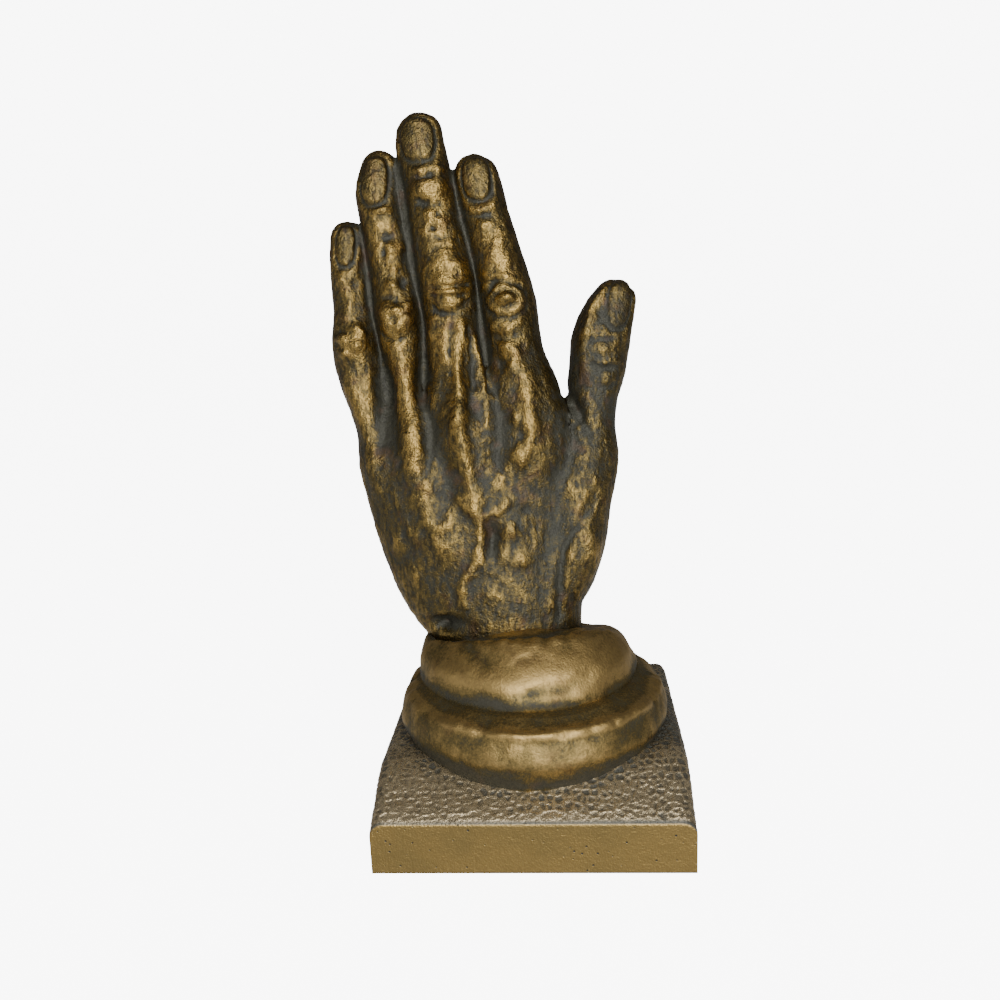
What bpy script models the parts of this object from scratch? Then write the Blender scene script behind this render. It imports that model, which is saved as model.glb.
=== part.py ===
"""Cast brass bookend: a left hand held upright, seen from its back, on a rolled sleeve cuff and a square base.

Metres, +Z up. +X is to the right of the side that shows and +Y points to the books.
The origin is the centre of the underside. The hand leans towards the books from wrist to fingertips.
Heights on the hand are measured up from the rim of the cuff.
"""
from dataclasses import dataclass

import bmesh
import bpy
import numpy as np
from mathutils import Matrix, Vector

# Base
BASE_WIDTH = 0.089
BASE_DEPTH = 0.089
BASE_FRONT_HEIGHT = 0.0147
BASE_SHOULDER_HEIGHT = 0.0192
BASE_CROWN_HEIGHT = 0.0245
BASE_BACK_HEIGHT = 0.0222
BASE_SHOULDER_SETBACK = 0.0085
BASE_CROWN_SETBACK = 0.0240
BASE_SIDE_ROUND = 0.0040
BASE_CORNER_ROUND = 0.0010
BASE_CANT = 0.022
BASE_GRID = 26

# Lower ring of the cuff
RING_RADIUS = 0.0409
RING_FOOT_RADIUS = 0.0378
RING_CREST_RADIUS = 0.0384
RING_TOP_RADIUS = 0.0325
RING_BULGE_RISE = 0.0042
RING_CREST_RISE = 0.0120
RING_HEIGHT = 0.0150
RING_BACK_GAP = 0.0014
RING_SINK = 0.0110

# Upper band of the cuff
CUFF_HALF_WIDTH = 0.0336
CUFF_HALF_DEPTH = 0.0334
CUFF_SHIFT = -0.0016
CUFF_HEIGHT = 0.0110
CUFF_SINK = 0.0080
CUFF_SETBACK = 0.0043
RIM_HALF_WIDTH = 0.0310
RIM_HALF_DEPTH = 0.0240
RIM_SETBACK = 0.0035
RIM_THICKNESS = 0.0034
RIM_FRONT_SLOPE = 0.14
RIM_SIDE_SLOPE = 0.05
SHOULDER_START = 0.0215
SHOULDER_WIDTH = 0.0090
SHOULDER_DROP = 0.0050
REAR_FALL_START = 0.0050
REAR_FALL_SETBACK = 0.0160
REAR_FALL_LENGTH = 0.0320
REAR_FALL_DROP = 0.0068
TRENCH_DEPTH = 0.0020
TRENCH_END = 0.0150

# Hand
WRIST_PALM_Y = 0.0270
TIP_PALM_Y = 0.0435
TIP_RISE = 0.1555
WEB_BLEND = 0.0010
FLESH_BLEND = 0.0075
THUMB_BLEND = 0.0030
RELIEF_FULL = 0.0085
RELIEF_NONE = 0.0040
NAIL_PLATE_RISE = 0.00030
NAIL_GROOVE_DEPTH = 0.00070
NAIL_SQUARENESS = 2.6
NAIL_GROOVE_SHARE = 1.08
NAIL_EDGE_SHARE = 0.13
PALM_CREASE_DEPTH = 0.0011
PALM_CREASE_HALF_WIDTH = 0.0011
HAND_VOXEL = 0.0011
HAND_TRIANGLES = 7900

# Making
TURN_SEGMENTS = 72
SPAN_STEPS = 4
SETTLE_STEPS = 4
CALM_STEPS = 2
SIDE_ROUND_SHARE = 0.96
PROBE = 0.00005
REACH = 0.012
FAR = 1.0
TINY = 1e-9

BRASS_COLOUR = (0.42, 0.27, 0.09, 1.0)
BRASS_ROUGHNESS = 0.42

RING_CENTRE_Y = BASE_DEPTH / 2 - RING_RADIUS - RING_BACK_GAP
CUFF_CENTRE_Y = RING_CENTRE_Y + CUFF_SETBACK
RIM_CENTRE_Y = CUFF_CENTRE_Y + RIM_SETBACK
RING_TOP = BASE_CROWN_HEIGHT + RING_HEIGHT
CUFF_RIM = RING_TOP + CUFF_HEIGHT


@dataclass(frozen=True)
class Station:
    """A cross-section of the hand: its place from the front, half its width, its thickness and its inset.

    The inset is how far its palm side stays forward of the leaning line that the palm follows.
    """

    x: float
    rise: float
    half_width: float
    thickness: float
    inset: float = 0.0


@dataclass(frozen=True)
class Loop:
    """An oval loop of the cuff: half its width and depth, its centre, its height and how far it sinks."""

    half_width: float
    half_depth: float
    x: float
    y: float
    height: float
    sink: float = 0.0


@dataclass(frozen=True)
class Stroke:
    """A ridge, or a groove where its height is negative, drawn on the back of the hand."""

    points: tuple
    half_width: float
    height: float


@dataclass(frozen=True)
class Bump:
    """A rounded swelling, or a hollow where its height is negative."""

    x: float
    rise: float
    half_width: float
    half_length: float
    height: float


@dataclass(frozen=True)
class Nail:
    """A nail plate with the groove around it; lean is its tilt from upright, as a slope."""

    x: float
    rise: float
    half_width: float
    half_length: float
    lean: float


PALM = (
    Station(-0.0100, -0.0140, 0.0225, 0.0285),
    Station(-0.0088, -0.0020, 0.0224, 0.0290),
    Station(-0.0112, 0.0079, 0.0246, 0.0290),
    Station(-0.0144, 0.0174, 0.0278, 0.0285),
    Station(-0.0165, 0.0269, 0.0296, 0.0282),
    Station(-0.0176, 0.0363, 0.0314, 0.0278),
    Station(-0.0185, 0.0456, 0.0324, 0.0270),
    Station(-0.0193, 0.0548, 0.0330, 0.0255),
    Station(-0.0225, 0.0630, 0.0312, 0.0225),
)

LITTLE = (
    Station(-0.0450, 0.0500, 0.0050, 0.0150),
    Station(-0.0485, 0.0665, 0.0063, 0.0172),
    Station(-0.0508, 0.0765, 0.0072, 0.0170),
    Station(-0.0520, 0.0865, 0.0080, 0.0172),
    Station(-0.0530, 0.0985, 0.0063, 0.0150),
    Station(-0.0537, 0.1110, 0.0062, 0.0138),
    Station(-0.0537, 0.1195, 0.0058, 0.0122),
)

RING_FINGER = (
    Station(-0.0350, 0.0540, 0.0072, 0.0230),
    Station(-0.0366, 0.0700, 0.0056, 0.0205),
    Station(-0.0368, 0.0800, 0.0062, 0.0192),
    Station(-0.0381, 0.0925, 0.0075, 0.0188),
    Station(-0.0397, 0.1060, 0.0070, 0.0165),
    Station(-0.0422, 0.1220, 0.0069, 0.0148),
    Station(-0.0438, 0.1330, 0.0069, 0.0138),
    Station(-0.0430, 0.1397, 0.0060, 0.0120),
)

MIDDLE = (
    Station(-0.0200, 0.0540, 0.0092, 0.0245),
    Station(-0.0210, 0.0740, 0.0090, 0.0218),
    Station(-0.0216, 0.0900, 0.0086, 0.0200),
    Station(-0.0231, 0.1045, 0.0090, 0.0196),
    Station(-0.0258, 0.1200, 0.0082, 0.0170),
    Station(-0.0280, 0.1345, 0.0077, 0.0150),
    Station(-0.0300, 0.1450, 0.0076, 0.0138),
    Station(-0.0303, 0.1500, 0.0070, 0.0126),
)

INDEX = (
    Station(0.0015, 0.0540, 0.0100, 0.0235),
    Station(-0.0007, 0.0715, 0.0100, 0.0218),
    Station(-0.0032, 0.0840, 0.0088, 0.0202),
    Station(-0.0048, 0.0990, 0.0085, 0.0196),
    Station(-0.0084, 0.1154, 0.0076, 0.0168),
    Station(-0.0110, 0.1250, 0.0073, 0.0152),
    Station(-0.0131, 0.1350, 0.0071, 0.0140),
    Station(-0.0139, 0.1376, 0.0062, 0.0122),
)

THUMB = (
    Station(0.0065, -0.0060, 0.0085, 0.0225),
    Station(0.0070, 0.0080, 0.0090, 0.0240),
    Station(0.0100, 0.0170, 0.0104, 0.0245),
    Station(0.0130, 0.0270, 0.0106, 0.0240),
    Station(0.0150, 0.0380, 0.0105, 0.0225),
    Station(0.0178, 0.0500, 0.0102, 0.0205),
    Station(0.0188, 0.0600, 0.0085, 0.0185),
    Station(0.0201, 0.0690, 0.0079, 0.0175),
    Station(0.0220, 0.0780, 0.0087, 0.0172),
    Station(0.0234, 0.0870, 0.0090, 0.0165),
    Station(0.0254, 0.0930, 0.0081, 0.0147),
    Station(0.0279, 0.0985, 0.0066, 0.0128),
)

FINGERS = (LITTLE, RING_FINGER, MIDDLE, INDEX)

WEBS = (
    (Station(-0.0410, 0.0550, 0.0050, 0.0120, 0.0030), Station(-0.0440, 0.0860, 0.0042, 0.0085, 0.0040),
     Station(-0.0466, 0.1000, 0.0034, 0.0075, 0.0035), Station(-0.0486, 0.1190, 0.0028, 0.0065, 0.0030)),
    (Station(-0.0300, 0.0550, 0.0050, 0.0130, 0.0035), Station(-0.0304, 0.0880, 0.0042, 0.0095, 0.0042),
     Station(-0.0333, 0.1128, 0.0034, 0.0080, 0.0040), Station(-0.0366, 0.1400, 0.0028, 0.0065, 0.0030)),
    (Station(-0.0095, 0.0550, 0.0055, 0.0130, 0.0035), Station(-0.0125, 0.0868, 0.0044, 0.0100, 0.0042),
     Station(-0.0160, 0.1130, 0.0036, 0.0082, 0.0040), Station(-0.0202, 0.1350, 0.0028, 0.0065, 0.0030)),
)

NAILS = (
    Nail(-0.0304, 0.1480, 0.0053, 0.0064, -0.06),
    Nail(-0.0439, 0.1366, 0.0043, 0.0071, 0.06),
    Nail(-0.0537, 0.1180, 0.0031, 0.0061, 0.05),
    Nail(-0.0130, 0.1361, 0.0044, 0.0065, -0.08),
    Nail(0.0290, 0.0978, 0.0036, 0.0070, 0.13),
)

KNUCKLES = (
    Bump(-0.0218, 0.1052, 0.0060, 0.0055, 0.0012),
    Bump(-0.0049, 0.1000, 0.0056, 0.0058, 0.0011),
    Bump(-0.0381, 0.0970, 0.0050, 0.0055, 0.0012),
    Bump(-0.0523, 0.0885, 0.0045, 0.0045, 0.0010),
    Bump(-0.0272, 0.1330, 0.0045, 0.0045, 0.0008),
    Bump(-0.0200, 0.0650, 0.0050, 0.0075, 0.0014),
    Bump(-0.0108, 0.0300, 0.0022, 0.0050, -0.0010),
    Bump(-0.0262, 0.0048, 0.0050, 0.0020, -0.0018),
)

TENDONS = (
    Stroke(((-0.0232, 0.0944), (-0.0222, 0.0844), (-0.0201, 0.0766), (-0.0199, 0.0680), (-0.0192, 0.0603),
            (-0.0178, 0.0526), (-0.0158, 0.0446), (-0.0149, 0.0372)), 0.0023, 0.0016),
    Stroke(((-0.0272, 0.0945), (-0.0264, 0.0846), (-0.0277, 0.0741), (-0.0290, 0.0678)), 0.0016, 0.0010),
    Stroke(((-0.0195, 0.0963), (-0.0161, 0.0885), (-0.0145, 0.0807), (-0.0118, 0.0740), (-0.0112, 0.0669),
            (-0.0125, 0.0624)), 0.0016, 0.0012),
    Stroke(((-0.0380, 0.0878), (-0.0371, 0.0814), (-0.0362, 0.0737), (-0.0335, 0.0650), (-0.0336, 0.0546),
            (-0.0326, 0.0466), (-0.0297, 0.0386), (-0.0252, 0.0298), (-0.0205, 0.0248)), 0.0034, 0.0015),
    Stroke(((-0.0051, 0.0909), (-0.0031, 0.0838), (0.0003, 0.0767), (0.0009, 0.0697), (0.0006, 0.0597),
            (-0.0036, 0.0522)), 0.0023, 0.0016),
    Stroke(((-0.0551, 0.0813), (-0.0531, 0.0742), (-0.0504, 0.0660), (-0.0480, 0.0590), (-0.0468, 0.0500),
            (-0.0440, 0.0410)), 0.0023, 0.0012),
    Stroke(((0.0262, 0.1020), (0.0224, 0.0985), (0.0197, 0.0922), (0.0181, 0.0852), (0.0178, 0.0780)),
           0.0016, 0.0012),
)

VEINS = (
    Stroke(((-0.0149, 0.0367), (-0.0112, 0.0378), (-0.0071, 0.0405), (-0.0050, 0.0444)), 0.0012, 0.0011),
    Stroke(((-0.0206, 0.0463), (-0.0175, 0.0407), (-0.0149, 0.0367), (-0.0142, 0.0311), (-0.0150, 0.0239),
            (-0.0195, 0.0192), (-0.0211, 0.0127)), 0.0014, 0.0013),
    Stroke(((-0.0077, 0.0357), (-0.0051, 0.0293), (-0.0021, 0.0212)), 0.0028, 0.0012),
    Stroke(((-0.0423, 0.0485), (-0.0401, 0.0421), (-0.0363, 0.0348), (-0.0301, 0.0283)), 0.0020, 0.0010),
)

GROOVES = (
    Stroke(((-0.0425, 0.0820), (-0.0412, 0.0740), (-0.0410, 0.0620), (-0.0395, 0.0500)), 0.0032, -0.0020),
    Stroke(((-0.0300, 0.0840), (-0.0308, 0.0720), (-0.0275, 0.0620), (-0.0248, 0.0520), (-0.0225, 0.0430)),
           0.0026, -0.0017),
    Stroke(((-0.0108, 0.0800), (-0.0092, 0.0710), (-0.0075, 0.0600), (-0.0098, 0.0500)), 0.0025, -0.0017),
    Stroke(((0.0106, 0.0724), (0.0131, 0.0697), (0.0158, 0.0665), (0.0172, 0.0625)), 0.0015, -0.0016),
    Stroke(((0.0209, 0.0436), (0.0187, 0.0398), (0.0150, 0.0328), (0.0117, 0.0290), (0.0099, 0.0210),
            (0.0086, 0.0050)), 0.0013, -0.0017),
    Stroke(((-0.0321, 0.1294), (-0.0274, 0.1283), (-0.0230, 0.1289)), 0.0009, -0.0008),
    Stroke(((-0.0283, 0.0988), (-0.0231, 0.0970), (-0.0187, 0.0984), (-0.0157, 0.1008)), 0.0010, -0.0009),
    Stroke(((-0.0262, 0.1078), (-0.0213, 0.1078), (-0.0165, 0.1080)), 0.0008, -0.0007),
    Stroke(((-0.0098, 0.1025), (-0.0083, 0.1055), (-0.0033, 0.1050), (0.0006, 0.1026)), 0.0009, -0.0009),
)

PALM_PADS = (
    Bump(-0.0150, 0.0420, 0.0150, 0.0170, -0.0048),
    Bump(0.0070, 0.0260, 0.0110, 0.0180, 0.0022),
    Bump(-0.0370, 0.0260, 0.0110, 0.0200, 0.0018),
)

PALM_CREASES = (
    ((-0.0440, 0.0540), (-0.0300, 0.0545), (-0.0140, 0.0590), (-0.0060, 0.0640)),
    ((0.0080, 0.0620), (-0.0020, 0.0540), (-0.0080, 0.0400), (-0.0060, 0.0220)),
)

FINGER_CREASE_STATIONS = (1, 3, 5)


def clear_scene():
    """Remove every object that the file opened with."""
    for item in list(bpy.data.objects):
        bpy.data.objects.remove(item, do_unlink=True)


def curve_through(rows, steps):
    """Rows of numbers along a smooth curve through the given rows, with so many steps in each span."""
    rows = np.asarray(rows, dtype=float)
    padded = np.vstack((2 * rows[0] - rows[1], rows, 2 * rows[-1] - rows[-2]))
    result = []
    for index in range(len(rows) - 1):
        before, start, end, after = padded[index:index + 4]
        for share in np.arange(steps) / steps:
            result.append(0.5 * (2 * start + (end - before) * share
                                 + (2 * before - 5 * start + 4 * end - after) * share ** 2
                                 + (3 * start - before - 3 * end + after) * share ** 3))
    result.append(rows[-1])
    return np.array(result)


def palm_line(rise):
    """Where the palm side lies at a height above the rim, as the hand leans to the books."""
    return WRIST_PALM_Y + (TIP_PALM_Y - WRIST_PALM_Y) * rise / TIP_RISE


def limb_path(limb):
    """Rows of x, y, z, half_width and half_depth along a limb."""
    rows = []
    for station in limb:
        centre_y = palm_line(station.rise) - station.inset - station.thickness / 2
        rows.append((station.x, centre_y, CUFF_RIM + station.rise, station.half_width, station.thickness / 2))
    return curve_through(rows, SPAN_STEPS)


def smooth_union(first, second, blend):
    """Distance to two forms joined by a fillet of about the given size."""
    mix = np.clip(0.5 + 0.5 * (second - first) / blend, 0.0, 1.0)
    return second * (1 - mix) + first * mix - blend * mix * (1 - mix)


def limb_distance(points, path):
    """Distance from each point to a limb with oval sections and rounded ends."""
    nearest = np.full(len(points), FAR)
    for start, end in zip(path[:-1], path[1:]):
        margin = max(start[3], end[3]) + REACH
        close = np.flatnonzero((points[:, 2] > min(start[2], end[2]) - margin)
                               & (points[:, 2] < max(start[2], end[2]) + margin))
        span = end[:3] - start[:3]
        length = np.linalg.norm(span)
        axis = span / length
        depth_axis = np.array((0.0, 1.0, 0.0)) - axis[1] * axis
        depth_axis /= np.linalg.norm(depth_axis)
        width_axis = np.cross(axis, depth_axis)
        offset = points[close] - start[:3]
        share = np.clip(offset @ axis / length, 0.0, 1.0)
        half_width = start[3] + share * (end[3] - start[3])
        half_depth = start[4] + share * (end[4] - start[4])
        offset = offset - share[:, None] * span
        half_length = np.minimum(half_width, half_depth)
        across = offset @ width_axis / half_width
        through = offset @ depth_axis / half_depth
        along = offset @ axis / half_length
        scaled = np.sqrt(across ** 2 + through ** 2 + along ** 2)
        steep = np.sqrt((across / half_width) ** 2 + (through / half_depth) ** 2 + (along / half_length) ** 2)
        nearest[close] = np.minimum(nearest[close], scaled * (scaled - 1) / np.maximum(steep, TINY))
    return nearest


def stroke_relief(x, rise, stroke):
    """Height that one stroke adds at each place."""
    path = curve_through(stroke.points, SPAN_STEPS)
    lengths = np.concatenate(([0.0], np.cumsum(np.linalg.norm(np.diff(path, axis=0), axis=1))))
    margin = 3 * stroke.half_width
    low = path.min(axis=0) - margin
    high = path.max(axis=0) + margin
    close = np.flatnonzero((x > low[0]) & (x < high[0]) & (rise > low[1]) & (rise < high[1]))
    nearest = np.full(len(close), FAR)
    reach = np.zeros(len(close))
    for index in range(len(path) - 1):
        span = path[index + 1] - path[index]
        over = x[close] - path[index, 0]
        up = rise[close] - path[index, 1]
        share = np.clip((over * span[0] + up * span[1]) / (span @ span), 0, 1)
        apart = np.hypot(over - share * span[0], up - share * span[1])
        closer = apart < nearest
        nearest = np.where(closer, apart, nearest)
        reach = np.where(closer, lengths[index] + share * np.linalg.norm(span), reach)
    fade = 2 * stroke.half_width
    ends = np.clip(reach / fade + 0.25, 0, 1) * np.clip((lengths[-1] - reach) / fade + 0.25, 0, 1)
    height = np.zeros(len(x))
    height[close] = stroke.height * ends * np.exp(-(nearest / stroke.half_width) ** 2)
    return height


def bump_relief(x, rise, bump):
    """Height that one bump adds at each place."""
    away = ((x - bump.x) / bump.half_width) ** 2 + ((rise - bump.rise) / bump.half_length) ** 2
    return bump.height * np.exp(-away)


def nail_relief(x, rise, nail):
    """Plate and surrounding groove of one nail."""
    along = rise - nail.rise
    across = (x - nail.x - nail.lean * along) / nail.half_width
    along = along / nail.half_length
    edge = (np.abs(across) ** NAIL_SQUARENESS + np.abs(along) ** NAIL_SQUARENESS) ** (1 / NAIL_SQUARENESS)
    plate = NAIL_PLATE_RISE * np.clip((1 - edge) / NAIL_EDGE_SHARE, 0, 1)
    groove = NAIL_GROOVE_DEPTH * np.exp(-((edge - NAIL_GROOVE_SHARE) / NAIL_EDGE_SHARE) ** 2)
    return plate - groove


def palm_creases():
    """Creases on the palm side: two across the palm and one at each joint of each finger."""
    creases = [Stroke(points, PALM_CREASE_HALF_WIDTH, -PALM_CREASE_DEPTH) for points in PALM_CREASES]
    for finger in FINGERS:
        for index in FINGER_CREASE_STATIONS:
            joint = finger[index]
            ends = ((joint.x - joint.half_width, joint.rise), (joint.x + joint.half_width, joint.rise))
            creases.append(Stroke(ends, PALM_CREASE_HALF_WIDTH, -PALM_CREASE_DEPTH))
    return creases


def relief(points):
    """Height of all that is modelled on the skin, on the back of the hand and on the palm, at each point."""
    x = points[:, 0]
    rise = points[:, 2] - CUFF_RIM
    back = np.zeros(len(points))
    for stroke in TENDONS + VEINS + GROOVES:
        back += stroke_relief(x, rise, stroke)
    for bump in KNUCKLES:
        back += bump_relief(x, rise, bump)
    for nail in NAILS:
        back += nail_relief(x, rise, nail)
    palm = np.zeros(len(points))
    for crease in palm_creases():
        palm += stroke_relief(x, rise, crease)
    for bump in PALM_PADS:
        palm += bump_relief(x, rise, bump)
    off_palm = palm_line(rise) - points[:, 1]
    facing_back = np.clip((off_palm - RELIEF_NONE) / (RELIEF_FULL - RELIEF_NONE), 0, 1)
    return back * facing_back + palm * (1 - facing_back)


def hand_distance(points, paths):
    """Distance to the whole hand, with its relief."""
    palm, thumb, fingers, webs = paths
    digits = limb_distance(points, fingers[0])
    for path in fingers[1:] + webs:
        digits = smooth_union(digits, limb_distance(points, path), WEB_BLEND)
    flesh = smooth_union(limb_distance(points, palm), digits, FLESH_BLEND)
    return smooth_union(flesh, limb_distance(points, thumb), THUMB_BLEND) - relief(points)


def settle(mesh, distance):
    """Move each vertex of a mesh along the field's slope until it lies on the surface."""
    points = np.empty(len(mesh.vertices) * 3)
    mesh.vertices.foreach_get("co", points)
    points = points.reshape(-1, 3)
    for _ in range(SETTLE_STEPS):
        value = distance(points)
        slope = np.empty_like(points)
        for axis in range(3):
            step = np.zeros(3)
            step[axis] = PROBE
            slope[:, axis] = (distance(points + step) - value) / PROBE
        steep = np.maximum(np.einsum("ij,ij->i", slope, slope), 0.25)
        points = points - np.clip(value, -HAND_VOXEL, HAND_VOXEL)[:, None] * slope / steep[:, None]
    mesh.vertices.foreach_set("co", points.ravel())
    mesh.update()


def new_object(name, mesh):
    """An object in the scene that holds the mesh."""
    item = bpy.data.objects.new(name, mesh)
    bpy.context.scene.collection.objects.link(item)
    return item


def mesh_from(name, form):
    """A named mesh from a bmesh, which is freed."""
    bmesh.ops.recalc_face_normals(form, faces=form.faces)
    mesh = bpy.data.meshes.new(name)
    form.to_mesh(mesh)
    form.free()
    return mesh


def baked(item):
    """The mesh that the object's modifiers give."""
    graph = bpy.context.evaluated_depsgraph_get()
    return bpy.data.meshes.new_from_object(item.evaluated_get(graph))


def remeshed(name, mesh, voxel):
    """One skin around the mesh, at the given grain."""
    rough = new_object(name + "_rough", mesh)
    skin = rough.modifiers.new("Skin", "REMESH")
    skin.mode = "VOXEL"
    skin.voxel_size = voxel
    result = baked(rough)
    bpy.data.objects.remove(rough, do_unlink=True)
    return result


def thinned(name, mesh, triangles):
    """The mesh, slightly smoothed, with its flattest parts drawn in fewer faces."""
    full = new_object(name + "_full", mesh)
    calm = full.modifiers.new("Calm", "SMOOTH")
    calm.iterations = CALM_STEPS
    mesh.calc_loop_triangles()
    fewer = full.modifiers.new("Fewer", "DECIMATE")
    fewer.ratio = min(1.0, triangles / len(mesh.loop_triangles))
    result = baked(full)
    bpy.data.objects.remove(full, do_unlink=True)
    return result


def clay_beads(paths):
    """Overlapping oval beads along every limb, as a first rough of the hand."""
    form = bmesh.new()
    for path in paths:
        for x, y, z, half_width, half_depth in curve_through(path, 2):
            size = (half_width, half_depth, min(half_width, half_depth), 1.0)
            place = Matrix.Translation((x, y, z)) @ Matrix.Diagonal(size)
            bmesh.ops.create_icosphere(form, subdivisions=2, radius=1.0, matrix=place)
    return mesh_from("clay", form)


def make_hand():
    """The hand, from inside the cuff to the fingertips."""
    palm = limb_path(PALM)
    thumb = limb_path(THUMB)
    fingers = [limb_path(limb) for limb in FINGERS]
    webs = [limb_path(limb) for limb in WEBS]
    mesh = remeshed("hand", clay_beads([palm, thumb] + fingers + webs), HAND_VOXEL)
    settle(mesh, lambda points: hand_distance(points, (palm, thumb, fingers, webs)))
    return new_object("hand", thinned("hand", mesh, HAND_TRIANGLES))


def oval_solid(name, loops, lift):
    """A closed solid through oval loops from bottom to top, each point raised by the lift function."""
    form = bmesh.new()
    rings = []
    for loop in loops:
        ring = []
        for index in range(TURN_SEGMENTS):
            angle = 2 * np.pi * index / TURN_SEGMENTS
            x = loop.x + loop.half_width * np.cos(angle)
            y = loop.y + loop.half_depth * np.sin(angle)
            ring.append(form.verts.new((x, y, loop.height + lift(x, y, loop))))
        rings.append(ring)
    for lower, upper in zip(rings[:-1], rings[1:]):
        for index in range(TURN_SEGMENTS):
            after = (index + 1) % TURN_SEGMENTS
            form.faces.new((lower[index], lower[after], upper[after], upper[index]))
    for ring in (rings[0], rings[-1]):
        hub = form.verts.new(sum((vertex.co for vertex in ring), Vector()) / TURN_SEGMENTS)
        for index in range(TURN_SEGMENTS):
            form.faces.new((ring[index], ring[(index + 1) % TURN_SEGMENTS], hub))
    return new_object(name, mesh_from(name, form))


def smoothed(loops, steps):
    """Loops along a smooth section through the given ones."""
    rows = [(loop.half_width, loop.half_depth, loop.x, loop.y, loop.height, loop.sink) for loop in loops]
    return [Loop(*row) for row in curve_through(rows, steps)]


def make_ring():
    """Lower ring: undercut foot, round bulge, crest and a shallow facet up to the band."""
    foot = BASE_CROWN_HEIGHT
    waist = (RING_RADIUS + RING_CREST_RADIUS) / 2
    section = (
        (RING_FOOT_RADIUS * 0.97, foot - RING_SINK),
        (RING_FOOT_RADIUS, foot - RING_SINK * 0.4),
        ((RING_FOOT_RADIUS + 2 * RING_RADIUS) / 3, foot + RING_BULGE_RISE * 0.15),
        (RING_RADIUS, foot + RING_BULGE_RISE),
        (waist, foot + (RING_BULGE_RISE + 2 * RING_CREST_RISE) / 3),
        (RING_CREST_RADIUS, foot + RING_CREST_RISE),
        (RING_TOP_RADIUS, foot + RING_HEIGHT),
    )
    loops = [Loop(radius, radius, 0.0, RING_CENTRE_Y, height) for radius, height in section]
    return oval_solid("ring", smoothed(loops, 2), lambda x, y, loop: 0.0)


def cuff_lift(x, y, loop):
    """Lift of the rim to the front and the right, its fall over the right shoulder and behind it, and the trench."""
    share = np.clip((loop.height - RING_TOP) / CUFF_HEIGHT, 0, 1)
    front = RIM_FRONT_SLOPE * max(RIM_CENTRE_Y - y, 0.0)
    side = RIM_SIDE_SLOPE * (x - CUFF_SHIFT)
    shoulder = SHOULDER_DROP * np.clip((x - SHOULDER_START) / SHOULDER_WIDTH, 0, 1) ** 2
    to_right = np.clip((x - REAR_FALL_START) / SHOULDER_WIDTH, 0, 1)
    behind = np.clip((y - RIM_CENTRE_Y + REAR_FALL_SETBACK) / REAR_FALL_LENGTH, 0, 1)
    rear = REAR_FALL_DROP * to_right * behind ** 2
    trench = loop.sink * np.clip((TRENCH_END - x) / SHOULDER_WIDTH, 0, 1)
    return share * (front + side - shoulder - rear) - trench


def make_cuff():
    """Upper band: a wall that leans in to an oval rim, with a shallow trench around the wrist."""
    foot = (CUFF_HALF_WIDTH, CUFF_HALF_DEPTH, CUFF_SHIFT, CUFF_CENTRE_Y)
    rim = (RIM_HALF_WIDTH, RIM_HALF_DEPTH, CUFF_SHIFT * 1.7, RIM_CENTRE_Y)
    bore = (RIM_HALF_WIDTH - RIM_THICKNESS, RIM_HALF_DEPTH - RIM_THICKNESS, CUFF_SHIFT * 2.2, RIM_CENTRE_Y)
    core = (RIM_HALF_WIDTH / 2, RIM_HALF_DEPTH / 2, CUFF_SHIFT * 5, RIM_CENTRE_Y)

    def between(lower, upper, share, height, sink=0.0):
        """A loop part of the way from one oval to another."""
        mixed = [(1 - share) * low + share * high for low, high in zip(lower, upper)]
        return Loop(*mixed, height, sink)

    loops = (
        between(foot, core, 0.25, RING_TOP - CUFF_SINK),
        between(foot, core, 0.03, RING_TOP - CUFF_SINK * 0.25),
        between(foot, rim, 0.00, RING_TOP + CUFF_HEIGHT * 0.14),
        between(foot, rim, 0.32, RING_TOP + CUFF_HEIGHT * 0.55),
        between(foot, rim, 0.85, CUFF_RIM - CUFF_HEIGHT * 0.10),
        between(rim, bore, 0.35, CUFF_RIM),
        between(rim, bore, 1.00, CUFF_RIM, TRENCH_DEPTH * 0.3),
        between(bore, core, 0.20, CUFF_RIM, TRENCH_DEPTH),
        between(bore, core, 1.00, CUFF_RIM, TRENCH_DEPTH),
    )
    return oval_solid("cuff", smoothed(loops, 2), cuff_lift)


def pillow_height(x, y):
    """Height of the base's top, which swells from the front edge, cants to the right and rounds over at the sides."""
    front = -BASE_DEPTH / 2
    shoulder_rise = BASE_SHOULDER_HEIGHT - BASE_FRONT_HEIGHT
    profile = curve_through((
        (front, BASE_FRONT_HEIGHT),
        (front + BASE_SHOULDER_SETBACK * 0.25, BASE_FRONT_HEIGHT + shoulder_rise * 0.5),
        (front + BASE_SHOULDER_SETBACK, BASE_SHOULDER_HEIGHT),
        (front + BASE_CROWN_SETBACK, BASE_CROWN_HEIGHT),
        (BASE_DEPTH / 2, BASE_BACK_HEIGHT),
    ), SPAN_STEPS)
    height = np.interp(y, profile[:, 0], profile[:, 1])
    inset = np.clip((abs(x) - (BASE_WIDTH / 2 - BASE_SIDE_ROUND)) / BASE_SIDE_ROUND, 0, 1)
    edge_fall = BASE_SIDE_ROUND * (1 - np.sqrt(1 - SIDE_ROUND_SHARE * inset ** 2))
    behind_front = np.clip((y - front) / BASE_CROWN_SETBACK, 0, 1)
    return height + BASE_CANT * x * behind_front - edge_fall


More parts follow.
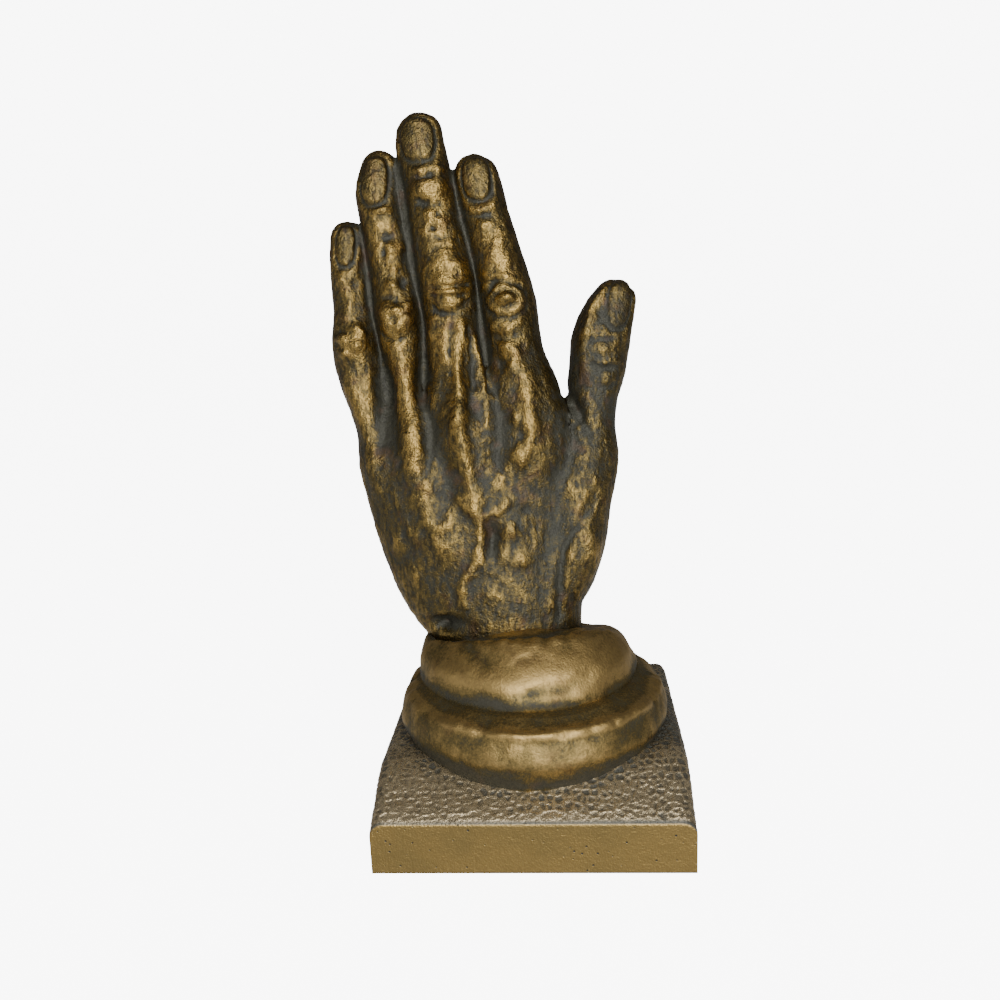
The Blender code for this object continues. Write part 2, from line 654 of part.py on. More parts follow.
def make_base():
    """Square base with a ground front face, straight sides and a swelling top."""
    form = bmesh.new()
    bmesh.ops.create_grid(form, x_segments=BASE_GRID, y_segments=BASE_GRID, size=0.5)
    for vertex in form.verts:
        x = BASE_WIDTH / 2 * np.sin(np.pi * vertex.co.x)
        y = BASE_DEPTH / 2 * np.sin(np.pi * vertex.co.y)
        vertex.co = (x, y, pillow_height(x, y))
    edges = [edge for edge in form.edges if edge.is_boundary]
    walls = bmesh.ops.extrude_edge_only(form, edges=edges)["geom"]
    for vertex in walls:
        if isinstance(vertex, bmesh.types.BMVert):
            vertex.co.z = 0.0
    sole = [edge for edge in walls if isinstance(edge, bmesh.types.BMEdge) and edge.is_boundary]
    bmesh.ops.contextual_create(form, geom=sole)

    def at_front_corner(edge):
        """Whether an edge is one of the two upright edges of the front face."""
        low, high = sorted(edge.verts, key=lambda vertex: vertex.co.z)
        upright = high.co.z - low.co.z > BASE_FRONT_HEIGHT / 2
        return upright and low.co.y < -BASE_DEPTH * 0.499 and abs(low.co.x) > BASE_WIDTH * 0.499

    corners = [edge for edge in form.edges if at_front_corner(edge)]
    bmesh.ops.bevel(form, geom=corners, offset=BASE_CORNER_ROUND, segments=2, profile=0.5, affect="EDGES")
    return new_object("hand_bookend", mesh_from("hand_bookend", form))


def cast_together(target, tool):
    """Join a tool's solid to the target with a live Boolean, and keep the tool itself out of the model."""
    step = target.modifiers.new(tool.name, "BOOLEAN")
    step.operation = "UNION"
    step.solver = "EXACT"
    step.object = tool
    tool.hide_render = True
    tool.display_type = "WIRE"


def brass():
    """Aged yellow brass."""
    material = bpy.data.materials.new("brass")
    material.use_nodes = True
    shader = material.node_tree.nodes["Principled BSDF"]
    shader.inputs["Base Color"].default_value = BRASS_COLOUR
    shader.inputs["Metallic"].default_value = 1.0
    shader.inputs["Roughness"].default_value = BRASS_ROUGHNESS
    return material


def main():
    """Build the bookend as one solid."""
    clear_scene()
    bookend = make_base()
    for piece in (make_ring(), make_cuff(), make_hand()):
        cast_together(bookend, piece)
    bookend.data.materials.append(brass())
    bookend.data.shade_smooth()


main()
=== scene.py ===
"""Looks of the cast brass hand bookend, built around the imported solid.

Four cast pieces stand for the one solid: the hand, the rolled sleeve's band and ring, and the pillow-topped
base. Every length below is in millimetres, and MM turns it into metres. Heights on the hand are measured up
from the rim of the sleeve, and everything else from the underside.
"""

import logging
from collections.abc import Callable
from dataclasses import dataclass, field, replace
from enum import Enum

import bmesh
import bpy
import numpy as np
from mathutils import Matrix, Vector, noise


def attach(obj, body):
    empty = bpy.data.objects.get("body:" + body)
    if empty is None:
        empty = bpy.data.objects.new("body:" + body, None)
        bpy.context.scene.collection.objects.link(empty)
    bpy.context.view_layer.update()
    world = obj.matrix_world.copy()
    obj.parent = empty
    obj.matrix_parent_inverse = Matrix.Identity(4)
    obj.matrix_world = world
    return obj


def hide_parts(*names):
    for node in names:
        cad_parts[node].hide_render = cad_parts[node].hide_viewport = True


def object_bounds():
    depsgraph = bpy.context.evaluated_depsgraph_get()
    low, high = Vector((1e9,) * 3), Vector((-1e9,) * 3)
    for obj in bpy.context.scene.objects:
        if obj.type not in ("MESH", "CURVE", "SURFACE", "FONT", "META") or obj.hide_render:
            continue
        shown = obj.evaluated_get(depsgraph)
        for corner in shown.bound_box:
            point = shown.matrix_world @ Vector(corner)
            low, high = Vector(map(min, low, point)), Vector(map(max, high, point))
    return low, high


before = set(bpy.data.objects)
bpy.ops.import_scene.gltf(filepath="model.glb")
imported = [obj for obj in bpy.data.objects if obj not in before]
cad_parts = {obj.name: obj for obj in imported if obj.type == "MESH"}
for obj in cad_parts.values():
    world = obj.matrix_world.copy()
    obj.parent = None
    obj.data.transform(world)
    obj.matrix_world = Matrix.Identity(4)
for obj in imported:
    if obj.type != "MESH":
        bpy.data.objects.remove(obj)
CAD_BOX = [list(corner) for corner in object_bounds()]

LOG = logging.getLogger("bookend")
MM = 0.001
BLOW_SIZE = 2.3
BLOW_RANDOMNESS = 0.8
NODE = "hand_bookend"
BODY = "root"
PATH_STEPS = 4
FAR = 1000.0
TINY = 1e-9

# Heights and lines that the sculpted pieces share
RIM = 50.5
RING_TOP = 39.5
WRIST_PALM_Y = 27.0
TIP_PALM_Y = 43.5
TIP_RISE = 155.5
BASE_CROWN = 24.5
RING_Y = 2.2


class Side(Enum):
    """The side of the hand that a mark is modelled on."""

    BACK = "back"
    PALM = "palm"


@dataclass(frozen=True)
class Station:
    """A cross-section of the hand: place across, height, half width, thickness, and inset from the palm."""

    x: float
    rise: float
    half_width: float
    thickness: float
    inset: float = 0.0


@dataclass(frozen=True)
class Loop:
    """An oval loop of the sleeve: half width and depth, centre, height, and how far the trench sinks it."""

    half_width: float
    half_depth: float
    x: float
    y: float
    height: float
    sink: float = 0.0


@dataclass(frozen=True)
class Stroke:
    """A ridge, or a groove where its height is negative, along a line."""

    points: tuple
    half_width: float
    height: float


@dataclass(frozen=True)
class Bump:
    """A rounded lump, or a pit where its height is negative."""

    x: float
    rise: float
    half_width: float
    half_length: float
    height: float


@dataclass(frozen=True)
class Shade:
    """Darkening of the colour that grows past a place, up to its full share, as painted shade and tarnish; a
    lightening where the share is negative.
    """

    share: float
    start: float
    length: float

    def over(self, value: np.ndarray) -> np.ndarray:
        """Return the darkening for each value."""
        return self.share * ramp(value, self.start, self.length)


@dataclass(frozen=True)
class Band:
    """Darkening of the colour along a line, with its share, place and half width, as painted shadow; a
    lightening, as painted highlight and wear, where the share is negative.
    """

    share: float
    centre: float
    width: float

    def over(self, value: np.ndarray) -> np.ndarray:
        """Return the darkening for each value."""
        return self.share * hump(value, self.centre, self.width)


@dataclass(frozen=True)
class Nail:
    """A nail plate with the groove around it; lean is its tilt from upright, as a slope."""

    x: float
    rise: float
    half_width: float
    half_length: float
    lean: float


PALM = (
    Station(-10.0, -14.0, 22.5, 28.5),
    Station(-8.8, -2.0, 22.4, 29.0),
    Station(-11.2, 7.9, 24.6, 29.0),
    Station(-14.4, 17.4, 27.8, 28.5),
    Station(-16.5, 26.9, 29.6, 28.2),
    Station(-17.6, 36.3, 31.4, 27.8),
    Station(-18.5, 45.6, 32.4, 27.0),
    Station(-19.3, 54.8, 33.0, 25.5),
    Station(-22.5, 63.0, 31.2, 22.5),
)

LITTLE = (
    Station(-45.0, 50.0, 5.0, 15.0),
    Station(-48.5, 66.5, 6.3, 17.2),
    Station(-50.8, 76.5, 7.2, 17.0),
    Station(-52.0, 86.5, 8.0, 17.2),
    Station(-53.0, 98.5, 6.3, 15.0),
    Station(-53.7, 111.0, 6.2, 13.8),
    Station(-53.7, 119.5, 5.8, 12.2),
)

RING_FINGER = (
    Station(-35.0, 54.0, 7.2, 23.0),
    Station(-36.6, 70.0, 5.6, 20.5),
    Station(-36.8, 80.0, 6.2, 19.2),
    Station(-38.1, 92.5, 7.5, 18.8),
    Station(-39.7, 106.0, 7.0, 16.5),
    Station(-42.2, 122.0, 6.9, 14.8),
    Station(-43.8, 133.0, 6.9, 13.8),
    Station(-43.0, 139.7, 6.0, 12.0),
)

MIDDLE = (
    Station(-20.0, 54.0, 9.2, 24.5),
    Station(-21.0, 74.0, 9.0, 21.8),
    Station(-21.6, 90.0, 8.6, 20.0),
    Station(-23.1, 104.5, 9.0, 19.6),
    Station(-25.8, 120.0, 8.2, 17.0),
    Station(-28.0, 134.5, 7.7, 15.0),
    Station(-30.0, 145.0, 7.6, 13.8),
    Station(-30.3, 150.0, 7.0, 12.6),
)

INDEX = (
    Station(1.5, 54.0, 10.0, 23.5),
    Station(-0.7, 71.5, 10.0, 21.8),
    Station(-3.2, 84.0, 8.8, 20.2),
    Station(-4.8, 99.0, 8.5, 19.6),
    Station(-8.4, 115.4, 7.6, 16.8),
    Station(-11.0, 125.0, 7.3, 15.2),
    Station(-13.1, 135.0, 7.1, 14.0),
    Station(-13.9, 137.6, 6.2, 12.2),
)

THUMB = (
    Station(6.5, -6.0, 8.5, 22.5),
    Station(7.0, 8.0, 9.0, 24.0),
    Station(10.0, 17.0, 10.4, 24.5),
    Station(13.0, 27.0, 10.6, 24.0),
    Station(15.0, 38.0, 10.5, 22.5),
    Station(17.8, 50.0, 10.2, 20.5),
    Station(18.8, 60.0, 8.5, 18.5),
    Station(20.1, 69.0, 7.9, 17.5),
    Station(22.0, 78.0, 8.7, 17.2),
    Station(23.4, 87.0, 9.0, 16.5),
    Station(25.4, 93.0, 8.1, 14.7),
    Station(27.9, 98.5, 6.6, 12.8),
)

WEBS = (
    (Station(-41.0, 55.0, 5.0, 12.0, 3.0), Station(-44.0, 86.0, 4.2, 8.5, 4.0),
     Station(-46.6, 100.0, 3.4, 7.5, 3.5), Station(-48.6, 119.0, 2.8, 6.5, 3.0)),
    (Station(-30.0, 55.0, 5.0, 13.0, 3.5), Station(-30.4, 88.0, 4.2, 9.5, 4.2),
     Station(-33.3, 112.8, 3.4, 8.0, 4.0), Station(-36.6, 140.0, 2.8, 6.5, 3.0)),
    (Station(-9.5, 55.0, 5.5, 13.0, 3.5), Station(-12.5, 86.8, 4.4, 10.0, 4.2),
     Station(-16.0, 113.0, 3.6, 8.2, 4.0), Station(-20.2, 135.0, 2.8, 6.5, 3.0)),
)

KNUCKLES = (
    Bump(-21.8, 105.2, 6.0, 5.5, 1.2),
    Bump(-4.9, 100.0, 5.6, 5.8, 1.1),
    Bump(-38.1, 97.0, 5.0, 5.5, 1.2),
    Bump(-52.3, 88.5, 4.5, 4.5, 1.0),
    Bump(-27.2, 133.0, 4.5, 4.5, 0.8),
    Bump(-20.0, 65.0, 5.0, 7.5, 1.4),
    Bump(-10.8, 30.0, 2.2, 5.0, -1.0),
    Bump(-26.2, 4.8, 5.0, 2.0, -1.8),
)

TENDONS = (
    Stroke(((-23.2, 94.4), (-22.2, 84.4), (-20.1, 76.6), (-19.9, 68.0), (-19.2, 60.3),
            (-17.8, 52.6), (-15.8, 44.6), (-14.9, 37.2)), 2.3, 1.6),
    Stroke(((-27.2, 94.5), (-26.4, 84.6), (-27.7, 74.1), (-29.0, 67.8)), 1.6, 1.0),
    Stroke(((-19.5, 96.3), (-16.1, 88.5), (-14.5, 80.7), (-11.8, 74.0), (-11.2, 66.9),
            (-12.5, 62.4)), 1.6, 1.2),
    Stroke(((-38.0, 87.8), (-37.1, 81.4), (-36.2, 73.7), (-33.5, 65.0), (-33.6, 54.6),
            (-32.6, 46.6), (-29.7, 38.6), (-25.2, 29.8), (-20.5, 24.8)), 3.4, 1.5),
    Stroke(((-5.1, 90.9), (-3.1, 83.8), (0.3, 76.7), (0.9, 69.7), (0.6, 59.7),
            (-3.6, 52.2)), 2.3, 1.6),
    Stroke(((-55.1, 81.3), (-53.1, 74.2), (-50.4, 66.0), (-48.0, 59.0), (-46.8, 50.0),
            (-44.0, 41.0)), 2.3, 1.2),
    Stroke(((26.2, 102.0), (22.4, 98.5), (19.7, 92.2), (18.1, 85.2), (17.8, 78.0)),
           1.6, 1.2),
)

VEINS = (
    Stroke(((-14.9, 36.7), (-11.2, 37.8), (-7.1, 40.5), (-5.0, 44.4)), 1.2, 1.1),
    Stroke(((-20.6, 46.3), (-17.5, 40.7), (-14.9, 36.7), (-14.2, 31.1), (-15.0, 23.9),
            (-19.5, 19.2), (-21.1, 12.7)), 1.4, 1.3),
    Stroke(((-7.7, 35.7), (-5.1, 29.3), (-2.1, 21.2)), 2.8, 1.2),
    Stroke(((-42.3, 48.5), (-40.1, 42.1), (-36.3, 34.8), (-30.1, 28.3)), 2.0, 1.0),
)

GROOVES = (
    Stroke(((-42.5, 82.0), (-41.2, 74.0), (-41.0, 62.0), (-39.5, 50.0)), 3.2, -2.0),
    Stroke(((-30.0, 84.0), (-30.8, 72.0), (-27.5, 62.0), (-24.8, 52.0), (-22.5, 43.0)),
           2.6, -1.7),
    Stroke(((-10.8, 80.0), (-9.2, 71.0), (-7.5, 60.0), (-9.8, 50.0)), 2.5, -1.7),
    Stroke(((10.6, 72.4), (13.1, 69.7), (15.8, 66.5), (17.2, 62.5)), 1.5, -1.6),
    Stroke(((20.9, 43.6), (18.7, 39.8), (15.0, 32.8), (11.7, 29.0), (9.9, 21.0),
            (8.6, 5.0)), 1.2, -0.9),
    Stroke(((-32.1, 129.4), (-27.4, 128.3), (-23.0, 128.9)), 0.9, -0.8),
    Stroke(((-28.3, 98.8), (-23.1, 97.0), (-18.7, 98.4), (-15.7, 100.8)), 1.0, -0.9),
    Stroke(((-26.2, 107.8), (-21.3, 107.8), (-16.5, 108.0)), 0.8, -0.7),
    Stroke(((-9.8, 102.5), (-8.3, 105.5), (-3.3, 105.0), (0.6, 102.6)), 0.9, -0.9),
)

PALM_PADS = (
    Bump(-15.0, 42.0, 15.0, 17.0, -4.8),
    Bump(7.0, 26.0, 11.0, 18.0, 2.2),
    Bump(-37.0, 26.0, 11.0, 20.0, 1.8),
)

PALM_CREASES = (
    ((-44.0, 54.0), (-30.0, 54.5), (-14.0, 59.0), (-6.0, 64.0)),
    ((8.0, 62.0), (-2.0, 54.0), (-8.0, 40.0), (-6.0, 22.0)),
)

NAILS = (
    Nail(-30.4, 148.0, 5.3, 6.4, -0.06),
    Nail(-43.9, 136.6, 4.3, 7.1, 0.06),
    Nail(-53.7, 118.0, 3.1, 6.1, 0.05),
    Nail(-13.0, 136.1, 4.4, 6.5, -0.08),
    Nail(29.0, 97.8, 3.6, 7.0, 0.13),
)

# Middle finger: wrinkles over its joints and the cords below the knuckle
MIDDLE_LINES = (
    Stroke(((-31.0, 130.4), (-28.4, 129.3), (-25.9, 129.9)), 0.8, -0.75),
    Stroke(((-31.7, 137.5), (-29.5, 136.5), (-26.8, 136.8)), 0.7, -0.50),
    Stroke(((-26.4, 119.9), (-24.0, 119.0), (-21.7, 119.7)), 0.7, -0.65),
    Stroke(((-27.1, 115.8), (-24.1, 116.2), (-20.4, 116.8)), 0.6, -0.30),
    Stroke(((-26.7, 108.0), (-23.5, 107.7), (-19.5, 108.1), (-15.8, 108.6)), 1.0, 0.75),
    Stroke(((-27.4, 105.4), (-22.7, 104.5), (-18.4, 104.8), (-15.7, 105.8)), 0.8, -0.75),
    Stroke(((-27.5, 102.9), (-22.9, 101.8), (-18.9, 101.9), (-16.3, 103.0)), 0.7, -0.70),
    Stroke(((-27.2, 100.2), (-25.5, 98.0), (-21.7, 96.6), (-17.7, 96.2)), 0.8, -0.55),
    Stroke(((-26.2, 106.6), (-21.2, 106.2), (-16.3, 107.0)), 0.6, 0.30),
    Stroke(((-26.7, 97.4), (-27.4, 91.6), (-28.7, 85.4), (-29.6, 78.4), (-29.9, 72.0)), 1.6, 0.80),
    Stroke(((-21.7, 95.1), (-22.2, 89.4), (-22.0, 83.6), (-21.4, 77.8)), 0.9, -0.70),
    Stroke(((-18.9, 95.0), (-18.5, 89.9), (-19.4, 84.1), (-20.0, 78.5), (-19.2, 72.1)), 1.5, 0.90),
    Stroke(((-16.1, 91.2), (-14.6, 85.2), (-13.4, 79.3), (-11.4, 74.2), (-9.0, 70.9)), 1.1, 0.80),
    Stroke(((-17.2, 93.5), (-16.2, 86.8), (-15.9, 80.3), (-15.4, 73.9)), 0.8, -0.70),
)

# Ring finger: wrinkles
RING_FINGER_LINES = (
    Stroke(((-43.3, 101.4), (-41.2, 102.3), (-39.2, 101.8), (-36.9, 100.5)), 0.9, -0.75),
    Stroke(((-39.5, 97.3), (-39.1, 95.0), (-38.5, 91.6)), 0.6, -0.75),
    Stroke(((-39.5, 96.6), (-37.4, 96.5), (-36.2, 98.1)), 0.5, -0.55),
    Stroke(((-43.7, 92.3), (-41.2, 90.5), (-37.9, 89.6), (-34.8, 90.7)), 0.7, -0.50),
)

# Forefinger: rings of wrinkles around the middle knuckle
INDEX_LINES = (
    Stroke(((-15.8, 127.9), (-13.1, 126.5), (-9.9, 126.8), (-7.1, 129.0)), 1.1, 0.70),
    Stroke(((-14.2, 125.1), (-11.3, 124.4), (-7.5, 126.1)), 0.8, -0.45),
    Stroke(((-11.8, 108.5), (-8.7, 107.1), (-5.0, 107.1), (-1.3, 108.1)), 0.9, 0.45),
    Stroke(((-8.0, 104.6), (-4.6, 105.9), (-1.0, 105.3), (0.8, 102.9)), 0.8, 0.50),
    Stroke(((-8.5, 89.8), (-5.1, 89.1), (-1.0, 90.4)), 0.7, -0.45),
)

# Little finger: wrinkles
LITTLE_LINES = (
    Stroke(((-55.6, 109.3), (-54.0, 104.8), (-52.6, 101.8), (-53.3, 98.1), (-54.7, 95.2)), 1.2, 0.55),
    Stroke(((-57.4, 88.9), (-54.3, 87.9), (-51.3, 85.8)), 0.7, -0.40),
    Stroke(((-58.0, 91.8), (-55.1, 92.7), (-52.7, 91.6)), 0.6, -0.35),
)

# Thumb: the edge beside the nail and its wrinkles
THUMB_LINES = (
    Stroke(((25.6, 103.0), (23.2, 100.4), (21.2, 96.9), (19.5, 92.6), (18.5, 88.3)), 0.9, 0.80),
    Stroke(((23.8, 99.7), (23.1, 95.4), (23.1, 91.1)), 1.0, -0.60),
    Stroke(((19.5, 87.9), (23.6, 87.3), (28.1, 87.9)), 0.7, -0.55),
    Stroke(((19.7, 82.0), (23.4, 81.0), (28.8, 81.1)), 0.7, 0.50),
    Stroke(((20.0, 80.2), (24.1, 78.9), (28.4, 79.6)), 0.7, -0.55),
    Stroke(((21.0, 74.3), (24.8, 73.2), (28.4, 74.2)), 0.6, -0.35),
)

# Back of the hand: cords, the forked vein, the fold of the thumb and the groove at the wrist
BACK_LINES = (
    Stroke(((-15.2, 74.6), (-12.3, 72.3), (-10.3, 67.9), (-10.2, 62.9), (-11.8, 58.8)), 1.1, 0.75),
    Stroke(((-14.5, 69.6), (-13.4, 65.4), (-13.2, 61.0)), 0.9, -0.50),
    Stroke(((-0.0, 72.9), (0.5, 68.6), (2.0, 64.2), (2.5, 60.5), (-0.3, 55.6), (-3.4, 52.0)), 1.6, 0.80),
    Stroke(((-5.3, 70.7), (-5.9, 66.3), (-5.3, 62.0), (-4.0, 59.2)), 1.6, -0.90),
    Stroke(((5.7, 59.4), (2.6, 56.1), (-1.1, 53.4), (-3.5, 50.3)), 1.0, 0.50),
    Stroke(((-30.0, 68.0), (-33.0, 65.0), (-36.1, 60.7), (-36.5, 55.6), (-34.5, 49.9), (-33.6, 43.9),
           (-32.0, 37.1), (-28.8, 31.3), (-24.3, 26.8), (-21.5, 23.6)), 2.4, 0.70),
    Stroke(((-25.8, 76.2), (-26.6, 71.2), (-29.6, 67.3)), 1.4, 0.60),
    Stroke(((-27.2, 66.0), (-26.6, 60.2), (-23.4, 57.0), (-21.9, 54.1)), 0.8, 0.45),
    Stroke(((-41.2, 48.5), (-39.9, 42.7), (-37.6, 36.9), (-34.3, 30.9), (-31.1, 26.3)), 1.1, 0.45),
    Stroke(((-43.2, 47.0), (-41.9, 41.0), (-39.4, 35.0), (-36.1, 29.0)), 1.2, -0.45),
    Stroke(((-49.4, 73.5), (-48.1, 65.9), (-47.1, 59.3), (-46.6, 53.6), (-48.2, 48.8)), 2.0, 0.50),
    Stroke(((-18.5, 60.9), (-18.0, 55.0), (-17.1, 49.1), (-16.2, 43.3), (-15.0, 37.8)), 1.5, 0.85),
    Stroke(((-14.9, 37.3), (-12.0, 37.9), (-8.9, 39.1), (-6.7, 41.1), (-4.4, 43.1)), 1.1, 0.95),
    Stroke(((-20.8, 43.8), (-18.2, 40.6), (-15.3, 37.6)), 1.0, 0.50),
    Stroke(((-14.9, 37.3), (-14.2, 33.3), (-14.5, 28.9), (-15.5, 24.5), (-18.1, 21.1), (-20.6, 16.9),
           (-20.3, 12.9), (-19.0, 9.0)), 1.1, 1.00),
    Stroke(((-15.0, 24.2), (-11.8, 21.6), (-8.1, 19.6)), 0.9, 0.50),
    Stroke(((-12.4, 35.9), (-10.9, 37.5), (-8.3, 37.7)), 0.8, -0.85),
    Stroke(((10.8, 69.9), (14.1, 64.6), (16.4, 60.3), (18.0, 56.0), (19.0, 52.4)), 0.9, 0.65),
    Stroke(((13.1, 68.9), (16.0, 65.2), (18.1, 61.4), (19.5, 57.8)), 0.9, -0.95),
    Stroke(((21.2, 41.2), (19.3, 37.8), (17.2, 34.6)), 0.6, -0.60),
    Stroke(((18.6, 36.0), (14.7, 31.1), (12.0, 27.4), (10.7, 21.4), (10.1, 14.5), (9.7, 7.3)), 0.8, 0.55),
    Stroke(((17.0, 33.9), (12.8, 30.4), (10.0, 25.2), (9.1, 18.4), (8.6, 11.4), (8.8, 5.3)), 0.9, -0.9),
    Stroke(((7.8, 25.5), (6.7, 18.9), (6.3, 11.4), (6.5, 6.7)), 1.2, 0.50),
    Stroke(((-24.6, 8.5), (-22.8, 12.7), (-24.1, 17.3)), 1.2, -0.35),
)

# Middle finger: lumps and pits
MIDDLE_LUMPS = (
    Bump(-29.9, 138.7, 2.0, 1.1, 0.45),
    Bump(-24.2, 139.3, 1.6, 1.8, 0.50),
    Bump(-29.4, 134.1, 2.4, 2.0, 0.55),
    Bump(-24.2, 134.4, 1.7, 2.2, 0.35),
    Bump(-26.7, 137.3, 0.9, 1.2, -0.55),
    Bump(-26.8, 125.6, 1.7, 1.5, 0.40),
    Bump(-23.1, 123.8, 1.8, 1.7, 0.45),
    Bump(-24.8, 125.9, 0.8, 0.9, -0.50),
    Bump(-26.2, 121.9, 0.9, 0.8, -0.50),
    Bump(-28.9, 120.8, 1.4, 1.3, 0.25),
    Bump(-22.3, 114.3, 2.6, 3.4, 0.45),
    Bump(-19.2, 111.3, 2.2, 2.0, 0.40),
    Bump(-26.4, 111.6, 2.0, 2.2, 0.30),
    Bump(-22.4, 103.4, 3.6, 1.1, 0.40),
    Bump(-20.8, 100.1, 2.6, 2.0, 0.30),
)

# Ring finger: lumps and pits
RING_FINGER_LUMPS = (
    Bump(-41.8, 127.8, 2.6, 1.1, 0.45),
    Bump(-40.0, 119.9, 1.8, 1.5, -0.80),
    Bump(-38.8, 116.2, 1.7, 2.2, 0.55),
    Bump(-36.6, 116.7, 1.1, 1.6, 0.35),
    Bump(-41.6, 115.4, 1.1, 1.6, -0.35),
    Bump(-38.2, 110.8, 1.6, 2.0, 0.35),
    Bump(-39.0, 105.7, 1.9, 1.7, 0.60),
    Bump(-36.1, 106.4, 1.2, 1.6, -0.40),
    Bump(-41.3, 97.9, 1.5, 1.6, 0.50),
    Bump(-38.4, 98.7, 1.2, 1.2, 0.55),
    Bump(-35.7, 96.1, 1.7, 1.8, 0.60),
    Bump(-40.9, 94.1, 1.6, 1.5, 0.55),
    Bump(-37.5, 93.1, 1.6, 1.4, 0.50),
    Bump(-34.8, 99.8, 1.0, 1.4, 0.45),
    Bump(-38.8, 86.8, 1.8, 1.9, 0.35),
    Bump(-36.9, 82.3, 1.8, 2.0, 0.30),
    Bump(-36.0, 77.2, 1.9, 2.4, 0.35),
)

# Forefinger: lumps and pits
INDEX_LUMPS = (
    Bump(-10.6, 122.2, 1.9, 1.5, 0.45),
    Bump(-6.2, 117.7, 2.4, 3.0, 0.40),
    Bump(-8.5, 114.2, 1.8, 2.6, 0.35),
    Bump(-4.3, 111.8, 2.0, 2.5, 0.35),
    Bump(-4.8, 100.7, 1.7, 1.5, 0.60),
    Bump(-8.4, 92.7, 1.6, 1.6, 0.40),
    Bump(-5.0, 91.8, 1.7, 1.5, 0.45),
    Bump(-1.6, 93.3, 1.3, 1.6, 0.35),
    Bump(-5.9, 87.0, 1.4, 1.6, 0.40),
    Bump(-2.6, 85.1, 1.6, 1.8, 0.40),
    Bump(-7.2, 81.4, 1.3, 1.6, -0.50),
    Bump(-3.8, 80.4, 1.6, 1.7, 0.45),
)

# Little finger: lumps and pits
LITTLE_LUMPS = (
    Bump(-55.0, 107.7, 1.7, 2.0, 0.40),
    Bump(-51.0, 106.5, 1.0, 1.6, -0.40),
    Bump(-50.6, 93.3, 1.5, 1.9, 0.65),
    Bump(-49.3, 91.7, 1.0, 1.2, 0.30),
    Bump(-55.5, 90.1, 1.8, 1.4, 0.45),
    Bump(-50.4, 88.2, 2.2, 1.6, 0.50),
    Bump(-54.9, 85.7, 1.9, 1.5, 0.35),
)

# Thumb: lumps
THUMB_LUMPS = (
    Bump(23.5, 84.5, 2.6, 1.6, 0.40),
    Bump(24.9, 76.3, 2.4, 1.5, 0.40),
)

# Back of the hand: lumps, hollows and the pocket at the rim of the cuff
BACK_LUMPS = (
    Bump(-19.4, 67.8, 1.9, 3.9, 0.95),
    Bump(-16.3, 71.2, 1.2, 2.4, -0.40),
    Bump(-3.0, 66.4, 1.2, 1.6, 0.45),
    Bump(-0.9, 61.5, 1.4, 1.6, -0.40),
    Bump(-4.0, 55.6, 1.5, 1.3, 0.35),
    Bump(-34.2, 63.6, 2.6, 3.2, 0.50),
    Bump(-32.3, 57.3, 2.0, 3.0, 0.35),
    Bump(-29.9, 52.7, 1.4, 2.4, -0.50),
    Bump(-29.2, 59.6, 1.5, 3.2, -0.60),
    Bump(-30.1, 46.9, 2.2, 2.2, 0.35),
    Bump(-24.6, 42.9, 2.4, 2.2, -0.40),
    Bump(-24.0, 35.7, 2.6, 2.0, 0.40),
    Bump(-26.9, 38.0, 1.6, 1.4, -0.30),
    Bump(-31.0, 33.3, 1.6, 1.8, -0.35),
    Bump(-10.6, 31.8, 2.0, 3.6, -0.90),
    Bump(-4.7, 33.6, 2.2, 3.2, 0.55),
    Bump(-2.7, 24.7, 3.0, 2.6, 0.50),
    Bump(-0.5, 39.1, 2.2, 2.4, -0.35),
    Bump(-8.6, 26.3, 1.6, 1.8, 0.30),
    Bump(-8.8, 47.0, 2.2, 3.0, 0.35),
    Bump(3.5, 35.6, 3.0, 3.2, -0.35),
    Bump(12.0, 44.5, 3.2, 4.2, 0.45),
    Bump(16.0, 51.7, 2.2, 3.6, 0.35),
    Bump(9.1, 49.2, 2.6, 2.4, -0.30),
    Bump(23.5, 49.7, 2.2, 3.2, -0.35),
    Bump(19.1, 24.5, 2.2, 6.0, 0.50),
    Bump(-27.8, 3.1, 2.4, 1.3, -1.40),
    Bump(-12.0, 14.5, 3.4, 2.6, 0.25),
    Bump(-35.1, 19.5, 2.2, 3.6, 0.30),
    Bump(-40.2, 30.1, 1.8, 3.6, 0.30),
)


def ring_of_skin(x: float, rise: float, half_width: float, half_length: float, thickness: float,
                 height: float) -> Stroke:
    """Return a closed oval stroke around a place.

    Args:
        x: Place across.
        rise: Place up.
        half_width: Half the oval's width.
        half_length: Half its length.
        thickness: Half width of the stroke itself.
        height: Its height.

    Returns:
        The stroke.
    """
    turns = np.linspace(0, 2 * np.pi, 13)
    points = tuple((x + half_width * np.cos(turn), rise + half_length * np.sin(turn)) for turn in turns)
    return Stroke(points, thickness, height)


FINGERS = (LITTLE, RING_FINGER, MIDDLE, INDEX)
FINGER_CREASE_STATIONS = (1, 3, 5)
KNUCKLE_RINGS = (
    ring_of_skin(-4.9, 100.5, 2.9, 2.5, 0.8, -0.50),
    ring_of_skin(-4.9, 100.5, 4.8, 3.9, 1.0, 0.20),
    ring_of_skin(-4.9, 100.5, 6.6, 5.2, 0.9, -0.45),
)
FINE_LINES = MIDDLE_LINES + RING_FINGER_LINES + INDEX_LINES + LITTLE_LINES + THUMB_LINES + KNUCKLE_RINGS
FINE_LUMPS = MIDDLE_LUMPS + RING_FINGER_LUMPS + INDEX_LUMPS + LITTLE_LUMPS + THUMB_LUMPS + BACK_LUMPS
